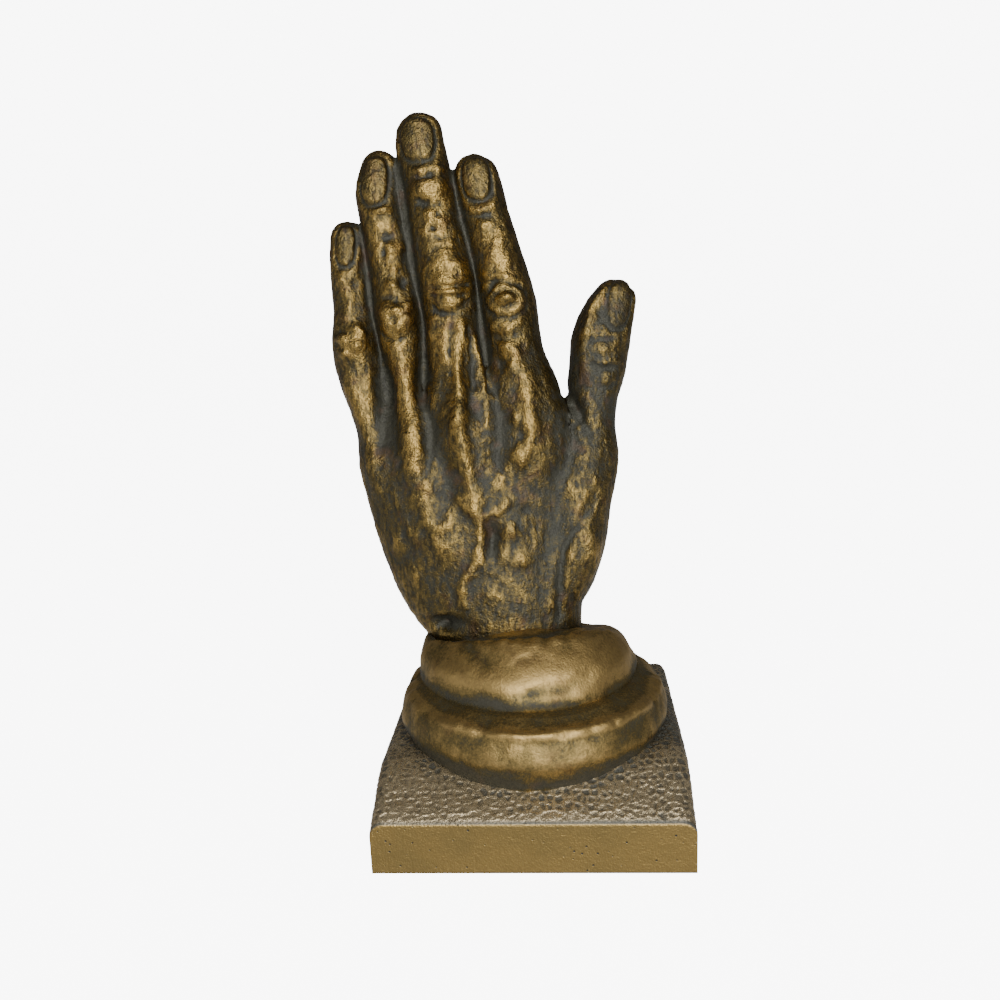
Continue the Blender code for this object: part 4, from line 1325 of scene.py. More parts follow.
@dataclass
class CastHand:
    """The hand: limbs with oval sections, joined with fillets, with everything modelled on its skin."""

    name: str = "cast_hand"
    voxel: float = 0.72
    bead_steps: int = 2
    web_blend: float = 0.8
    flesh_blend: float = 7.5
    thumb_blend: float = 3.0
    settle_steps: int = 3
    relief_full: float = 8.5
    relief_none: float = 4.0
    plate_rise: float = 0.30
    cuticle_depth: float = 0.75
    crease_depth: float = 1.1
    crease_half_width: float = 1.0
    unevenness: float = 0.6
    wander: float = 0.5
    nail_tarnish: float = 0.34
    nail_polish: float = 0.85
    nail_reach: float = 1.2
    nail_fade: float = 0.4
    nail_squareness: float = 2.6
    plate_slope: float = 0.12
    cuticle_place: float = 1.08
    cuticle_width: float = 0.12
    palm_tarnish: float = 0.15
    least_steep: float = 0.25
    line_widening: float = 1.4
    tendon_widening: float = 1.2
    vein_widening: float = 1.5
    groove_widening: float = 1.1
    limb_margin: float = 10.0
    probe: float = 0.05
    finish: BrassFinish = BrassFinish("hand_brass")
    skin: SkinTree = SkinTree(lump_size=4.0, lump_depth=0.6, grain_size=1.8, grain_depth=0.50, stretch=0.45)
    paths: dict = field(default_factory=dict)

    def limb_path(self, limb: tuple) -> np.ndarray:
        """Turn the stations of a limb into rows of x, y, z, half width and half depth.

        Args:
            limb: The stations.

        Returns:
            The rows along a smooth path.
        """
        rows = []
        for station in limb:
            y = palm_line(station.rise) - station.inset - station.thickness / 2
            rows.append((station.x, y, RIM + station.rise, station.half_width, station.thickness / 2))
        return curve_through(rows, PATH_STEPS)

    def limb_distance(self, points: np.ndarray, path: np.ndarray) -> np.ndarray:
        """Find the distance from each point to a limb with oval sections and rounded ends.

        Args:
            points: Rows of x, y and z.
            path: Rows of x, y, z, half width and half depth.

        Returns:
            The distances, negative inside.
        """
        nearest = np.full(len(points), FAR)
        for start, end in zip(path[:-1], path[1:]):
            margin = max(start[3], end[3]) + self.limb_margin
            close = np.flatnonzero((points[:, 2] > min(start[2], end[2]) - margin)
                                   & (points[:, 2] < max(start[2], end[2]) + margin))
            span = end[:3] - start[:3]
            length = np.linalg.norm(span)
            axis = span / length
            depth_axis = np.array((0.0, 1.0, 0.0)) - axis[1] * axis
            depth_axis /= np.linalg.norm(depth_axis)
            width_axis = np.cross(axis, depth_axis)
            offset = points[close] - start[:3]
            share = np.clip(offset @ axis / length, 0.0, 1.0)
            half_width = start[3] + share * (end[3] - start[3])
            half_depth = start[4] + share * (end[4] - start[4])
            half_length = np.minimum(half_width, half_depth)
            offset = offset - share[:, None] * span
            across = offset @ width_axis / half_width
            through = offset @ depth_axis / half_depth
            along = offset @ axis / half_length
            scaled = np.sqrt(across ** 2 + through ** 2 + along ** 2)
            steep = np.sqrt((across / half_width) ** 2 + (through / half_depth) ** 2
                            + (along / half_length) ** 2)
            nearest[close] = np.minimum(nearest[close], scaled * (scaled - 1) / np.maximum(steep, TINY))
        return nearest

    def distance(self, points: np.ndarray) -> np.ndarray:
        """Find the distance from each point to the bare hand.

        Args:
            points: Rows of x, y and z.

        Returns:
            The distances, negative inside.
        """
        digits = None
        for path in self.paths["fingers"] + self.paths["webs"]:
            apart = self.limb_distance(points, path)
            digits = apart if digits is None else smooth_union(digits, apart, self.web_blend)
        flesh = smooth_union(self.limb_distance(points, self.paths["palm"]), digits, self.flesh_blend)
        return smooth_union(flesh, self.limb_distance(points, self.paths["thumb"]), self.thumb_blend)

    def slope(self, points: np.ndarray, value: np.ndarray) -> np.ndarray:
        """Find the direction in which the distance grows.

        Args:
            points: Rows of x, y and z.
            value: The distance at each point.

        Returns:
            The slope at each point.
        """
        slope = np.empty_like(points)
        for axis in range(3):
            step = np.zeros(3)
            step[axis] = self.probe
            slope[:, axis] = (self.distance(points + step) - value) / self.probe
        return slope

    def nail_height(self, x: np.ndarray, rise: np.ndarray, nail: Nail) -> np.ndarray:
        """Find what one nail adds: its plate and the groove around it.

        Args:
            x: Places across.
            rise: Places up.
            nail: The nail.

        Returns:
            The height at each place.
        """
        along = rise - nail.rise
        across = (x - nail.x - nail.lean * along) / nail.half_width
        along = along / nail.half_length
        power = self.nail_squareness
        edge = (np.abs(across) ** power + np.abs(along) ** power) ** (1 / power)
        plate = self.plate_rise * ramp(edge, 1.0, -self.plate_slope)
        return plate - self.cuticle_depth * hump(edge, self.cuticle_place, self.cuticle_width)

    def crease_marks(self) -> tuple:
        """List the creases of the palm side: two across the palm and one at each joint.

        Returns:
            The creases, as strokes.
        """
        creases = [Stroke(points, self.crease_half_width, -self.crease_depth) for points in PALM_CREASES]
        for finger in FINGERS:
            for index in FINGER_CREASE_STATIONS:
                joint = finger[index]
                ends = ((joint.x - joint.half_width, joint.rise), (joint.x + joint.half_width, joint.rise))
                creases.append(Stroke(ends, self.crease_half_width, -self.crease_depth))
        return tuple(creases)

    def relief(self, points: np.ndarray, side: Side) -> np.ndarray:
        """Find the height of all that is modelled on one side of the hand.

        Args:
            points: Rows of x, y and z.
            side: The side of the hand.

        Returns:
            The height at each point.
        """
        x = points[:, 0]
        rise = points[:, 2] - RIM
        if side is Side.PALM:
            return marks_height(x, rise, self.crease_marks() + PALM_PADS)
        plates = np.zeros(len(points))
        for nail in NAILS:
            plates += self.nail_height(x, rise, nail)
        uneven = np.clip(1 + self.unevenness * drift(points, 4.0, 31.0), 0.1, 2.0)
        x = x + self.wander * drift(points, 3.0, 7.0)
        rise = rise + self.wander * drift(points, 3.0, 19.0)
        fine = (LINE_GAIN * marks_height(x, rise, FINE_LINES)
                + CORD_GAIN * marks_height(x, rise, BACK_LINES, self.line_widening)
                + LUMP_GAIN * marks_height(x, rise, FINE_LUMPS))
        broad = (KNUCKLE_GAIN * marks_height(x, rise, KNUCKLES)
                 + TENDON_GAIN * marks_height(x, rise, TENDONS, self.tendon_widening)
                 + VEIN_GAIN * marks_height(x, rise, VEINS, self.vein_widening)
                 + GROOVE_GAIN * marks_height(x, rise, GROOVES, self.groove_widening))
        return broad + fine * uneven + plates

    def rough_mesh(self) -> bpy.types.Mesh:
        """Draw one fine skin around overlapping oval beads along every limb.

        Returns:
            The skin's mesh.
        """
        form = bmesh.new()
        limbs = [self.paths["palm"], self.paths["thumb"]] + self.paths["fingers"] + self.paths["webs"]
        for path in limbs:
            for x, y, z, half_width, half_depth in curve_through(path, self.bead_steps):
                size = (half_width * MM, half_depth * MM, min(half_width, half_depth) * MM, 1.0)
                place = Matrix.Translation((x * MM, y * MM, z * MM)) @ Matrix.Diagonal(size)
                bmesh.ops.create_icosphere(form, subdivisions=3, radius=1.0, matrix=place)
        rough = new_object("rough_hand", mesh_from("rough_hand", form))
        step = rough.modifiers.new("Skin", "REMESH")
        step.mode = "VOXEL"
        step.voxel_size = self.voxel * MM
        mesh = baked(rough)
        bpy.data.objects.remove(rough, do_unlink=True)
        return mesh

    def settled(self, points: np.ndarray) -> tuple:
        """Move points onto the surface of the bare hand, step by step.

        Args:
            points: Rows of x, y and z.

        Returns:
            The moved points, and the outward direction at each.
        """
        reach = 2 * self.voxel
        for _ in range(self.settle_steps):
            value = self.distance(points)
            slope = self.slope(points, value)
            steep = np.einsum("ij,ij->i", slope, slope)
            step = np.clip(value, -reach, reach) / np.maximum(steep, self.least_steep)
            points = points - step[:, None] * slope
        return points, slope / np.sqrt(np.maximum(steep, TINY))[:, None]

    def nail_share(self, points: np.ndarray) -> np.ndarray:
        """Find the share of nail at each point, which is smoother and darker than the skin.

        Args:
            points: Rows of x, y and z.

        Returns:
            The share of nail.
        """
        share = np.zeros(len(points))
        for nail in NAILS:
            along = (points[:, 2] - RIM - nail.rise) / nail.half_length
            across = (points[:, 0] - nail.x - nail.lean * along * nail.half_length) / nail.half_width
            share = np.maximum(share, ramp(np.hypot(across, along), self.nail_reach, -self.nail_fade))
        return share

    def build(self) -> bpy.types.Object:
        """Sculpt the hand and dress it.

        Returns:
            The finished piece.
        """
        self.paths = {
            "palm": self.limb_path(PALM),
            "thumb": self.limb_path(THUMB),
            "fingers": [self.limb_path(limb) for limb in FINGERS],
            "webs": [self.limb_path(limb) for limb in WEBS],
        }
        mesh = self.rough_mesh()
        LOG.info("rough hand: %d vertices", len(mesh.vertices))
        points, outward = self.settled(points_of(mesh) / MM)
        off_palm = palm_line(points[:, 2] - RIM) - points[:, 1]
        facing = ramp(off_palm, self.relief_none, self.relief_full - self.relief_none)
        height = self.relief(points, Side.BACK) * facing + self.relief(points, Side.PALM) * (1 - facing)
        points = points + height[:, None] * outward
        move_points(mesh, points * MM)
        on_nail = facing * self.nail_share(points)
        # Patina with painted shade, and worn knuckles with painted highlights, from the patches above
        dark = marks_height(points[:, 0], points[:, 2] - RIM, HAND_SHADE_AND_PATINA) * facing
        dark += self.palm_tarnish * (1 - facing)
        none = np.zeros(len(points))
        mark_shares(mesh, none, 1.0 - self.nail_polish * on_nail, none, dark + self.nail_tarnish * on_nail)
        return dress(new_object(self.name, mesh), self.skin, self.finish, WearMap())


# Marks on the front of the sleeve's band: place across, height from the underside
BAND_DENTS = (
    Stroke(((-20.9, 54.0), (-15.5, 51.5), (-11.0, 49.0)), 2.2, -0.8),
    Stroke(((-5.4, 50.5), (-2.0, 51.6), (0.8, 51.4)), 0.9, -0.4),
    Stroke(((-3.0, 44.0), (4.0, 45.0), (12.0, 45.8), (19.8, 47.5)), 2.0, -0.8),
    Bump(1.0, 53.5, 11.0, 3.0, 0.3),
    Bump(13.0, 51.5, 8.0, 3.6, 0.5),
    Bump(-8.0, 46.0, 6.0, 2.6, 0.4),
    Bump(-22.0, 49.0, 4.0, 4.0, 0.4),
)


# Painted shade and highlights on the front of the band: darker along the left dent and low down by the foot,
# and painted highlights on its middle and a few spots where the height is negative
BAND_PAINTED_LIGHT = (
    Stroke(((-21.5, 54.5), (-16.0, 52.5), (-11.0, 49.5)), 2.6, 0.34),
    Bump(-6.0, 42.0, 17.0, 2.8, 0.70),
    Bump(6.0, 50.5, 11.0, 4.0, -0.16),
    Bump(16.0, 46.0, 8.0, 3.0, -0.08),
    Bump(-22.0, 48.0, 4.0, 3.0, -0.10),
)


@dataclass
class Sleeve:
    """The rolled sleeve: a lower ring with a bulge and a crest, and an upper band with an oval rim."""

    ring_name: str = "sleeve_ring"
    band_name: str = "sleeve_band"
    segments: int = 360
    steps: int = 12
    ring_radius: float = 40.9
    ring_foot: float = 37.8
    ring_crest: float = 38.4
    ring_rim: float = 32.5
    band: tuple = (33.6, 33.4, -1.6, 6.5)
    rim: tuple = (31.0, 24.0, -2.7, 10.0)
    bore: tuple = (27.6, 20.6, -3.5, 10.0)
    core: tuple = (15.5, 12.0, -8.0, 10.0)
    band_height: float = 11.0
    rim_spread: float = 1.3
    trench: float = 1.5
    crest_jag: float = 0.55
    crest_sway: float = 1.4
    crest_lip: float = 0.9
    belly: float = 0.9
    belly_rise: float = 8.0
    belly_spread: float = 3.5
    sharp_passes: int = 3
    soft_passes: int = 45
    band_passes: int = 8
    crisp_turn: float = -1.10
    crisp_spread: float = 1.05
    trench_end: float = 15.0
    front_lift: float = 5.2
    side_slope: float = 0.05
    shoulder_start: float = 21.5
    shoulder_width: float = 9.0
    shoulder_drop: float = 5.0
    rear_fall_start: float = 5.0
    rear_fall_setback: float = 16.0
    rear_fall_length: float = 32.0
    rear_fall_drop: float = 6.8
    foot_drop: float = 11.0
    crest_rise: float = 12.0
    crest_spread: float = 2.2
    lip_spread: float = 1.1
    bulge_rise: float = 6.5
    bulge_spread: float = 4.0
    front_fade: float = 8.0
    # Painted shade and painted highlights of the ring and band, and the ring's even tarnish
    under_shade: Shade = Shade(0.70, 4.5, -2.5)
    low_shade: Shade = Shade(0.3, 0.5, -3.0)
    contact_shade: Shade = Shade(0.4, -1.5, -2.0)
    facet_shade: Shade = Shade(0.60, 12.8, 0.8)
    ring_tarnish: float = 0.27
    ring_side_shade: float = 0.10
    front_shine: Band = Band(1.0, -1.45, 0.42)
    crest_shine: Band = Band(0.75, 12.0, 0.7)
    left_shade: Shade = Shade(0.10, -14.0, -12.0)
    right_shade: Shade = Shade(0.06, 20.0, 14.0)
    trench_shade: Shade = Shade(0.7, 1.09, -0.05)
    trench_fade: float = 9.0
    trench_least: float = 0.15
    foot_shade: Shade = Shade(0.6, RING_TOP + 3.2, -1.8)
    finish: BrassFinish = BrassFinish(
        "sleeve_brass", bias=0.76, crest_gain=0.7, hollow_gain=0.6, mottle_gain=0.8, speck_gain=0.5,
        streak_gain=0.2, patch_gain=0.5, soot_share=0.1, rust_share=0.25, patina=(0.052, 0.048, 0.031),
        umber=(0.120, 0.098, 0.046), metal=(0.300, 0.216, 0.082), bright=(0.500, 0.345, 0.130),
        dark_metal=0.15, dark_rough=0.60, bright_rough=0.49, bump_strength=0.4, bump_height=0.30)
    skin: SkinTree = SkinTree(lump_size=9.0, lump_depth=0.9, grain_size=2.0, grain_depth=0.16)

    def ring_dark(self, points: np.ndarray) -> np.ndarray:
        """Find how much darker the ring is: tarnish, with painted shade on its facet and low on its sides,
        and a painted highlight on its crest.

        Args:
            points: Rows of x, y and z.

        Returns:
            The darkening at each point.
        """
        turn = np.arctan2(points[:, 1] - RING_Y, points[:, 0])
        height = points[:, 2] - BASE_CROWN
        wavy = height + 0.8 * drift(points, 6.0, 12.0)
        # Painted reflection: the front of the ring is kept lighter than its sides
        off_front = 1 - self.front_shine.over(turn)
        # Painted shade under the bulge, near the base and on the upper facet
        dark = (self.under_shade.over(wavy) * off_front + self.low_shade.over(wavy)
                + self.contact_shade.over(wavy) + self.facet_shade.over(wavy))
        uneven = 1 + 1.2 * drift(points, 2.5, 6.0)
        # Painted highlight along the crest, in front
        shine = hump(turn, self.crisp_turn, self.crisp_spread) * self.crest_shine.over(height) * uneven
        return dark + self.ring_side_shade * off_front + self.ring_tarnish - shine

    def band_dark(self, points: np.ndarray) -> np.ndarray:
        """Find how much darker the band is: painted shade at its left and right, at its foot and in its
        dents, painted shade with patina in its trench, and painted highlights on its front.

        Args:
            points: Rows of x, y and z.

        Returns:
            The darkening at each point.
        """
        x = points[:, 0]
        from_bore = np.hypot((x - self.bore[2]) / self.bore[0], (points[:, 1] - self.bore[3]) / self.bore[1])
        open_trench = np.clip((self.trench_end - x) / self.trench_fade, self.trench_least, 1)
        wavy = points[:, 2] + 0.9 * drift(points, 5.0, 2.0)
        front = ramp(points[:, 1], self.band[3], -self.front_fade)
        # Painted shade and highlights from the marks above, on the front only
        painted_light = front * marks_height(x + 1.5 * drift(points, 6.0, 4.0), wavy, BAND_PAINTED_LIGHT)
        return (self.left_shade.over(x) + self.right_shade.over(x)
                + self.trench_shade.over(from_bore) * open_trench + self.foot_shade.over(wavy) + painted_light)

    def solid(self, name: str, loops: list, lift: Callable, dark: Callable) -> bpy.types.Object:
        """Build a closed solid through oval loops from bottom to top.

        Args:
            name: Name of the piece.
            loops: The loops.
            lift: Function of x, y and the loop that raises a point.
            dark: Function of the points that gives their tarnish and painted shade.

        Returns:
            The piece.
        """
        form = bmesh.new()
        rings = []
        for loop in loops:
            ring = []
            for index in range(self.segments):
                angle = 2 * np.pi * index / self.segments
                x = loop.x + loop.half_width * np.cos(angle)
                y = loop.y + loop.half_depth * np.sin(angle)
                ring.append(form.verts.new((x * MM, y * MM, (loop.height + lift(x, y, loop)) * MM)))
            rings.append(ring)
        for lower, upper in zip(rings[:-1], rings[1:]):
            for index in range(self.segments):
                after = (index + 1) % self.segments
                form.faces.new((lower[index], lower[after], upper[after], upper[index]))
        for ring in (rings[0], rings[-1]):
            hub = form.verts.new(sum((vertex.co for vertex in ring), Vector()) / self.segments)
            for index in range(self.segments):
                form.faces.new((ring[index], ring[(index + 1) % self.segments], hub))
        mesh = mesh_from(name, form)
        count = len(mesh.vertices)
        places = points_of(mesh) / MM
        mark_shares(mesh, np.zeros(count), np.ones(count), np.zeros(count), dark(places))
        return new_object(name, mesh)

    def softened(self, rows: np.ndarray, passes: int) -> np.ndarray:
        """Average each row between its neighbours, over and over, and keep both ends.

        Args:
            rows: The rows.
            passes: How many times to average.

        Returns:
            The averaged rows.
        """
        rows = rows.copy()
        for _ in range(passes):
            rows[1:-1] = 0.25 * rows[:-2] + 0.5 * rows[1:-1] + 0.25 * rows[2:]
        return rows

    def smoothed(self, loops: list) -> list:
        """Return loops along a smooth section through the given ones."""
        rows = [(loop.half_width, loop.half_depth, loop.x, loop.y, loop.height, loop.sink) for loop in loops]
        return [Loop(*row) for row in self.softened(curve_through(rows, self.steps), self.band_passes)]

    def ring(self) -> bpy.types.Object:
        """Build the lower ring: undercut foot, round bulge, crest and a shallow facet up to the band.

        Returns:
            The piece.
        """
        foot = BASE_CROWN
        section = (
            (self.ring_foot * 0.97, foot - self.foot_drop),
            (self.ring_foot, foot - 4.4),
            ((self.ring_foot + 2 * self.ring_radius) / 3, foot + 0.6),
            (self.ring_radius, foot + 4.2),
            ((self.ring_radius + self.ring_crest) / 2, foot + 9.4),
            (self.ring_crest, foot + self.crest_rise),
            (self.ring_rim, foot + 15.0),
        )
        sharp = self.softened(curve_through(section, self.steps), self.sharp_passes)
        soft = self.softened(sharp, self.soft_passes)
        loops = [Loop(radius, radius, 0.0, RING_Y, height) for radius, height in sharp]
        piece = self.solid(self.ring_name, loops, lambda x, y, loop: 0.0, self.ring_dark)
        points = points_of(piece.data) / MM
        turn = np.arctan2(points[:, 1] - RING_Y, points[:, 0])
        rows = np.minimum(np.arange(len(points)) // self.segments, len(sharp) - 1)
        crisp = hump(turn, self.crisp_turn, self.crisp_spread)
        crisp = np.where(np.arange(len(points)) < len(sharp) * self.segments, crisp, 1.0)
        radius = np.hypot(points[:, 0], points[:, 1] - RING_Y)
        eased = 1 + (1 - crisp) * (soft[rows, 0] - sharp[rows, 0]) / np.maximum(radius, 1.0)
        self.widen(points, eased)
        points[:, 2] += (1 - crisp) * (soft[rows, 1] - sharp[rows, 1])
        around = np.stack((40 * np.cos(turn), 40 * np.sin(turn), np.zeros(len(turn))), axis=1)
        crest = foot + self.crest_rise
        on_crest = hump(points[:, 2], crest, self.crest_spread)
        jag = self.crest_jag * drift(around, 3.2, 5.0) + self.crest_sway * drift(around, 14.0, 9.0)
        points[:, 2] += on_crest * jag
        bulge = hump(points[:, 2] - foot, self.bulge_rise, self.bulge_spread)
        swell = 1 + (0.5 * bulge * drift(around, 18.0, 3.0) - 0.25 * on_crest) / self.ring_radius
        lip = crisp * self.crest_lip * hump(points[:, 2], crest, self.lip_spread)
        points[:, 2] += lip
        self.widen(points, swell + 0.6 * lip / self.ring_radius)
        move_points(piece.data, points * MM)
        return piece

    def widen(self, points: np.ndarray, swell: np.ndarray) -> None:
        """Move points of the ring out from its axis.

        Args:
            points: Rows of x, y and z, which are changed.
            swell: How many times as far from the axis each one comes to lie.
        """
        points[:, 0] *= swell
        points[:, 1] = RING_Y + (points[:, 1] - RING_Y) * swell

    def rim_rise(self, x: object, y: object) -> object:
        """Find how far the rim rises over its own height: most in front, and less over the right shoulder.

        Args:
            x: Places across.
            y: Places in depth.

        Returns:
            The rise at each place.
        """
        ahead = np.maximum(self.rim[3] - y, 0.0)
        facing = ahead / np.maximum(np.hypot(ahead, 0.7 * (x - self.rim[2])), 1.0)
        side = self.side_slope * (x - self.band[2])
        over = ramp(x, self.shoulder_start, self.shoulder_width)
        to_right = ramp(x, self.rear_fall_start, self.shoulder_width)
        behind = ramp(y - self.rim[3], -self.rear_fall_setback, self.rear_fall_length)
        fall = self.shoulder_drop * over ** 2 + self.rear_fall_drop * to_right * behind ** 2
        return self.front_lift * facing ** 1.5 + side - fall

    def band_lift(self, x: float, y: float, loop: Loop) -> float:
        """Find how far a point of the band is raised, less the depth of the trench.

        Args:
            x: Place across.
            y: Place in depth.
            loop: The loop that the point is on.

        Returns:
            How far the point is raised.
        """
        share = ramp(loop.height, RING_TOP, self.band_height)
        trench = loop.sink * ramp(x, self.trench_end, -self.shoulder_width)
        return share * self.rim_rise(x, y) - trench

    def upper_band(self) -> bpy.types.Object:
        """Build the band: a wall that leans in to an oval rim, with a shallow trench around the wrist.

        Returns:
            The piece.
        """

        def between(lower: tuple, upper: tuple, share: float, height: float, sink: float = 0.0) -> Loop:
            """Return a loop part of the way from one oval to another."""
            mixed = [(1 - share) * low + share * high for low, high in zip(lower, upper)]
            return Loop(*mixed, height, sink)

        top = self.band_height
        loops = [
            between(self.band, self.core, 0.25, RING_TOP - 8.0),
            between(self.band, self.core, 0.03, RING_TOP - 2.0),
            between(self.band, self.rim, 0.00, RING_TOP + top * 0.14),
            between(self.band, self.rim, 0.32, RING_TOP + top * 0.55),
            between(self.band, self.rim, 0.85, RIM - top * 0.10),
            between(self.rim, self.bore, 0.35, RIM),
            between(self.rim, self.bore, 1.00, RIM, self.trench * 0.3),
            between(self.bore, self.core, 0.20, RIM, self.trench),
            between(self.bore, self.core, 1.00, RIM, self.trench),
        ]
        piece = self.solid(self.band_name, self.smoothed(loops), self.band_lift, self.band_dark)
        points = points_of(piece.data) / MM
        front = ramp(points[:, 1], self.band[3], -self.front_fade)
        centre = np.array((self.band[2], self.band[3]))
        away = points[:, :2] - centre
        away /= np.maximum(np.linalg.norm(away, axis=1), TINY)[:, None]
        x = points[:, 0] + 0.8 * drift(points, 4.0, 2.0)
        height = points[:, 2] + 0.6 * drift(points, 4.0, 8.0)
        belly = self.belly * hump(points[:, 2] - RING_TOP, self.belly_rise, self.belly_spread)
        dents = front * (marks_height(x, height, BAND_DENTS) + belly)
        points[:, :2] += dents[:, None] * away
        rim = hump(points[:, 2] - RIM, self.rim_rise(points[:, 0], points[:, 1]), self.rim_spread)
        around = points * np.array((1.0, 1.0, 0.0))
        points[:, 2] += rim * front * 0.5 * drift(around, 3.0, 4.0)
        move_points(piece.data, points * MM)
        return piece

    def build(self) -> list:
        """Build and dress the ring and the band.

        Returns:
            Both finished pieces.
        """
        wear = WearMap(broad_steps=90, broad_height=1.6)
        return [dress(piece, self.skin, self.finish, wear) for piece in (self.ring(), self.upper_band())]


@dataclass
class PillowBase:
    """Square base: ground front face, hammered pillow top and plain sides."""

    name: str = "pillow_base"
    width: float = 89.0
    depth: float = 89.0
    front_height: float = 14.7
    lip_height: float = 2.2
    lip_round: float = 1.6
    back_height: float = 22.2
    crown_setback: float = 24.0
    side_round: float = 4.0
    cant: float = 0.022
    grid: int = 230
    wall_rows: int = 26
    edge_crowding: float = 0.45
    side_blows: float = 0.45
    swell_power: float = 1.6
    side_share: float = 0.96
    # Darkening of the base's colour: painted shade to the back, the right and the side edges, painted shadow
    # at the front corner and around the sleeve's foot; lighter to the left and along the front lip
    rear_shade: Shade = Shade(0.40, 9.0, 20.0)
    right_shade: Shade = Shade(0.10, 0.0, 30.0)
    left_shine: Shade = Shade(-0.14, 0.0, -25.0)
    edge_shade: Shade = Shade(0.25, -5.0, 4.0)
    corner_shadow: Band = Band(0.6, 0.2, 0.6)
    lip_shine: Band = Band(-0.22, 1.5, 0.6)
    ring_shadow: Band = Band(0.35, 40.0, 3.0)
    finish: BrassFinish = BrassFinish(
        "base_brass", bias=0.79, crest_gain=0.20, hollow_gain=0.20, rim_gain=0.65, streak_gain=0.1,
        speck_gain=0.5, grain_gain=0.4, soot_share=0.3, rust_share=0.15, patina=(0.098, 0.098, 0.082),
        umber=(0.165, 0.152, 0.115), metal=(0.330, 0.275, 0.180), bright=(0.600, 0.480, 0.290),
        dark_metal=0.1, bare_metal=0.8, bump_strength=0.45)
    skin: SkinTree = SkinTree(blow_depth=0.28, lump_size=7.0, lump_depth=0.35, grain_size=1.4,
                              grain_depth=0.12)

    def top_height(self, x: np.ndarray, y: np.ndarray) -> np.ndarray:
        """Find the height of the pillow top.

        Args:
            x: Places across.
            y: Places in depth.

        Returns:
            The height at each place.
        """
        from_front = y + self.depth / 2
        to_crown = np.clip(from_front / self.crown_setback, 0, 1)
        swell = np.sin(np.pi / 2 * to_crown) ** self.swell_power
        lip = self.lip_height * (1 - np.exp(-np.maximum(from_front, 0) / self.lip_round))
        height = self.front_height + lip + (BASE_CROWN - self.front_height - self.lip_height) * swell
        past_crown = ramp(from_front, self.crown_setback, self.depth - self.crown_setback)
        height = height - (BASE_CROWN - self.back_height) * past_crown
        inset = ramp(np.abs(x), self.width / 2 - self.side_round, self.side_round)
        edge_fall = self.side_round * (1 - np.sqrt(1 - self.side_share * inset ** 2))
        return height + self.cant * x * to_crown - edge_fall

    def crowded(self, share: np.ndarray) -> np.ndarray:
        """Return grid places from -1 to 1 that lie closer together near the edges."""
        return (1 - self.edge_crowding) * 2 * share + self.edge_crowding * np.sin(np.pi * share)

    def build(self) -> bpy.types.Object:
        """Build and dress the base.

        Returns:
            The finished piece.
        """
        form = bmesh.new()
        bmesh.ops.create_grid(form, x_segments=self.grid, y_segments=self.grid, size=0.5)
        flat = np.array([vertex.co[:2] for vertex in form.verts])
        x = self.width / 2 * self.crowded(flat[:, 0])
        y = self.depth / 2 * self.crowded(flat[:, 1])
        for vertex, place in zip(form.verts, np.stack((x, y, self.top_height(x, y)), axis=1)):
            vertex.co = place * MM
        edges = [edge for edge in form.edges if edge.is_boundary]
        for row in range(self.wall_rows):
            made = bmesh.ops.extrude_edge_only(form, edges=edges)["geom"]
            for vertex in made:
                if isinstance(vertex, bmesh.types.BMVert):
                    vertex.co.z *= 1 - 1 / (self.wall_rows - row)
            edges = [edge for edge in made if isinstance(edge, bmesh.types.BMEdge) and edge.is_boundary]
        bmesh.ops.contextual_create(form, geom=edges)
        mesh = mesh_from(self.name, form)
        self.mark(mesh)
        return dress(new_object(self.name, mesh), self.skin, self.finish, WearMap(broad_height=3.0))

    def mark(self, mesh: bpy.types.Mesh) -> None:
        """Store where the base is struck, rough, ground and darker: only its front face is ground.

        Args:
            mesh: The mesh.
        """
        points = points_of(mesh) / MM
        x, y, z = points.T
        from_front = y + self.depth / 2
        on_top = ramp(z - self.top_height(x, y), -1.0, 1.0)
        off_front = ramp(from_front, 0.5, 1.4)
        on_front = np.where(from_front < 0.01, 1.0, 0.0)
        above_foot = ramp(z, 0.0, 3.0)
        off_back = np.where(y > self.depth / 2 - 0.01, 0.0, 1.0)
        struck = np.maximum(on_top, self.side_blows * above_foot * off_back) * off_front
        # Painted shade and shadow of the base, lighter to the left and along the lip
        tarnish_and_shade = self.rear_shade.over(from_front) + self.right_shade.over(x) + self.left_shine.over(x)
        tarnish_and_shade += self.edge_shade.over(np.abs(x) - self.width / 2)
        tarnish_and_shade += self.corner_shadow.over(from_front) * (1 - on_front)
        tarnish_and_shade += self.lip_shine.over(from_front) * (0.5 + 1.5 * drift(points, 5.0, 2.5))
        tarnish_and_shade += self.ring_shadow.over(np.hypot(x, y - RING_Y))
        mark_shares(mesh, struck, off_front * above_foot * off_back, on_front, tarnish_and_shade)


